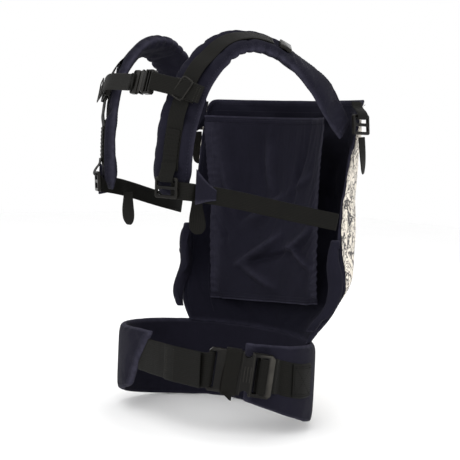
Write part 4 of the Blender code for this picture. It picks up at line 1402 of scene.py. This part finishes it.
def make_chest_strap():
    lift = STRAP_THICKNESS / 2 + RAIL_LIFT + CHEST_LIFT
    crossings = {}
    for name, side in SIDES:
        moulded("chest_slider_%s_ring" % name, "chest_slider_" + name, "chest_strap", 0.0005)
        point, _, across, normal = strap_frame(side, CHEST_T)
        crossings[side] = [(point + across * shift + normal * lift) for shift in (-0.036, 0.0, 0.029)]
    height = crossings[1][1].z + CHEST_BUCKLE_RISE
    middle = Vector((CHEST_BUCKLE_X, CHEST_BUCKLE_Y, height))
    outward = Vector((0.0, 0.97, 0.24))
    half = CHEST_BUCKLE_LENGTH / 2 + 0.001
    for name, side in SIDES:
        _, along, _, normal = strap_frame(side, CHEST_T)
        turn = Matrix.Rotation(math.radians(14 * side), 4, "Z")
        ring_at = frame_at(crossings[side][1] + normal * (WEBBING_THICKNESS + 0.0016), along, normal) @ turn
        wire_ring("chest_slider_%s_bar_ring" % name, ring_at, 0.0150, 0.0088, 0.32, 0.0011, "chest_strap")
        crossing = crossings[side] if side > 0 else crossings[side][1:]
        round_bar = ((half - 0.0052, -0.0040, 0.0),
                     (half - 0.0020, 0.0035, 0.001),
                     (half + 0.0040, 0.0002, 0.0))
        places = [middle + Vector((x * side, y, z)) for x, y, z in round_bar] + crossing
        normals = [outward] * 3 + [normal] * len(crossing)
        at = ribbon_path(places, normals, SIDE_WEBBING)
        webbing = strip("chest_%s_webbing" % name, at, 70, WEBBING, power=7.0)
        put(webbing, "chest_strap", "black_webbing", "chest_webbing_" + name)
        surface = tree_of(webbing)
        runs = []
        across = (crossing[-1] - crossing[-2]).normalized()
        up = normal.cross(across)
        for back in (0.0045, 0.0090):
            point = crossing[-1] - across * back + normal * 0.002
            runs.append([(point + up * (0.0115 * (k / 5 - 1)), normal) for k in range(11)])
        stitches("chest_tacks_" + name, runs, "chest_strap", "black_webbing", DARK_THREAD,
                 trees=[surface], tight=0.6)
    moulded("chest_female_shell", "chest_buckle_female", "chest_strap", 0.0006)
    moulded("chest_male_frame", "chest_buckle_male", "chest_strap", 0.0005)
    moulded("chest_tongue_bar", "chest_buckle_tongue", "chest_strap", 0.0003)
    moulded("chest_prong_upper_arm", "chest_buckle_prong_upper", "chest_prong_upper", 0.0004)
    moulded("chest_prong_lower_arm", "chest_buckle_prong_lower", "chest_prong_lower", 0.0004)


def make_toy_loop():
    work = bmesh.new()
    work.from_mesh(NODES["toy_loop"].data)
    bmesh.ops.remove_doubles(work, verts=work.verts, dist=1e-6)
    mesh = bpy.data.meshes.new("hanging_loop")
    work.to_mesh(mesh)
    work.free()
    mesh.uv_layers.new(name="weave")
    put(subdivide(add_object("hanging_loop", mesh, WEBBING)), "carrier", "black_webbing", "toy_loop")


# ---------------------------------------------------------------- studio

CAMERA_AZIMUTH = 230.0
CAMERA_ELEVATION = 4.0
CAMERA_ROLL = 2.5
CAMERA_DISTANCE = 1.76
CAMERA_TARGET = Vector((0.0, 0.0, 0.215))
FLOOR_GAP = 0.0008


def camera_axes():
    a = math.radians(CAMERA_AZIMUTH)
    e = math.radians(CAMERA_ELEVATION)
    r = math.radians(CAMERA_ROLL)
    back = Vector((math.sin(a) * math.cos(e), -math.cos(a) * math.cos(e), math.sin(e)))
    right = Vector((math.cos(a), math.sin(a), 0.0))
    up = back.cross(right)
    return right * math.cos(r) + up * math.sin(r), up * math.cos(r) - right * math.sin(r), back


def make_camera():
    right, up, back = camera_axes()
    data = bpy.data.cameras.new("camera")
    data.sensor_width = 36.0
    data.lens = 36.0 * 1200 / 460
    data.shift_x = 0.0283
    data.shift_y = -0.0109
    camera = bpy.data.objects.new("camera", data)
    bpy.context.collection.objects.link(camera)
    turn = Matrix((right, up, back)).transposed().to_4x4()
    camera.matrix_world = Matrix.Translation(CAMERA_TARGET + back * CAMERA_DISTANCE) @ turn
    bpy.context.scene.camera = camera


def area_light(name, place, size, power):
    """A square soft light looking at the middle of the carrier."""
    data = bpy.data.lights.new(name, "AREA")
    data.shape = "RECTANGLE"
    data.size = size
    data.size_y = size
    data.energy = power
    light = bpy.data.objects.new(name, data)
    bpy.context.collection.objects.link(light)
    light.location = place
    light.rotation_euler = (Vector((0.0, 0.0, 0.2)) - Vector(place)).to_track_quat("-Z", "Y").to_euler()


def make_studio(lowest):
    size = 4.0
    steps = [mix(-size, size, i / 8) for i in range(9)]
    rows = [[(x, y, lowest - FLOOR_GAP) for y in steps] for x in steps]
    floor = grid_object("floor", rows, plain("floor", (0.985, 0.985, 0.985), 0.8))
    world = bpy.data.worlds.new("studio")
    world.use_nodes = True
    background = world.node_tree.nodes["Background"]
    background.inputs["Color"].default_value = (1.0, 1.0, 1.0, 1.0)
    background.inputs["Strength"].default_value = 1.0
    bpy.context.scene.world = world
    area_light("key", (-1.4, 1.5, 1.7), 1.1, 20.0)
    area_light("fill", (-1.9, -0.7, 0.7), 1.4, 3.0)
    area_light("left", (0.4, 2.2, 0.6), 1.2, 6.0)
    area_light("top", (0.0, 0.0, 2.2), 1.4, 9.0)
    area_light("front", (1.0, -2.0, 1.2), 1.4, 5.0)
    bpy.context.scene.view_settings.view_transform = "Standard"


def main():
    make_camera()
    make_belt()
    matrix = buckle_frame()
    make_right_webbing(matrix)
    make_boxed_fold()
    make_left_webbing(matrix)
    make_waist_tail()
    make_keeper(matrix)
    make_waist_buckle(matrix)
    make_panel()
    make_leg_pads()
    make_hood()
    for name, side in SIDES:
        make_strap(name, side)
        moulded("hood_slide_%s_body" % name, "hood_slide_" + name, "carrier", 0.0012)
        make_side_strap(name, side)
        make_corner_adjuster(name, side)
    make_chest_strap()
    make_toy_loop()
    make_studio(min(corner[2] for corner in CAD_BOX))


main()
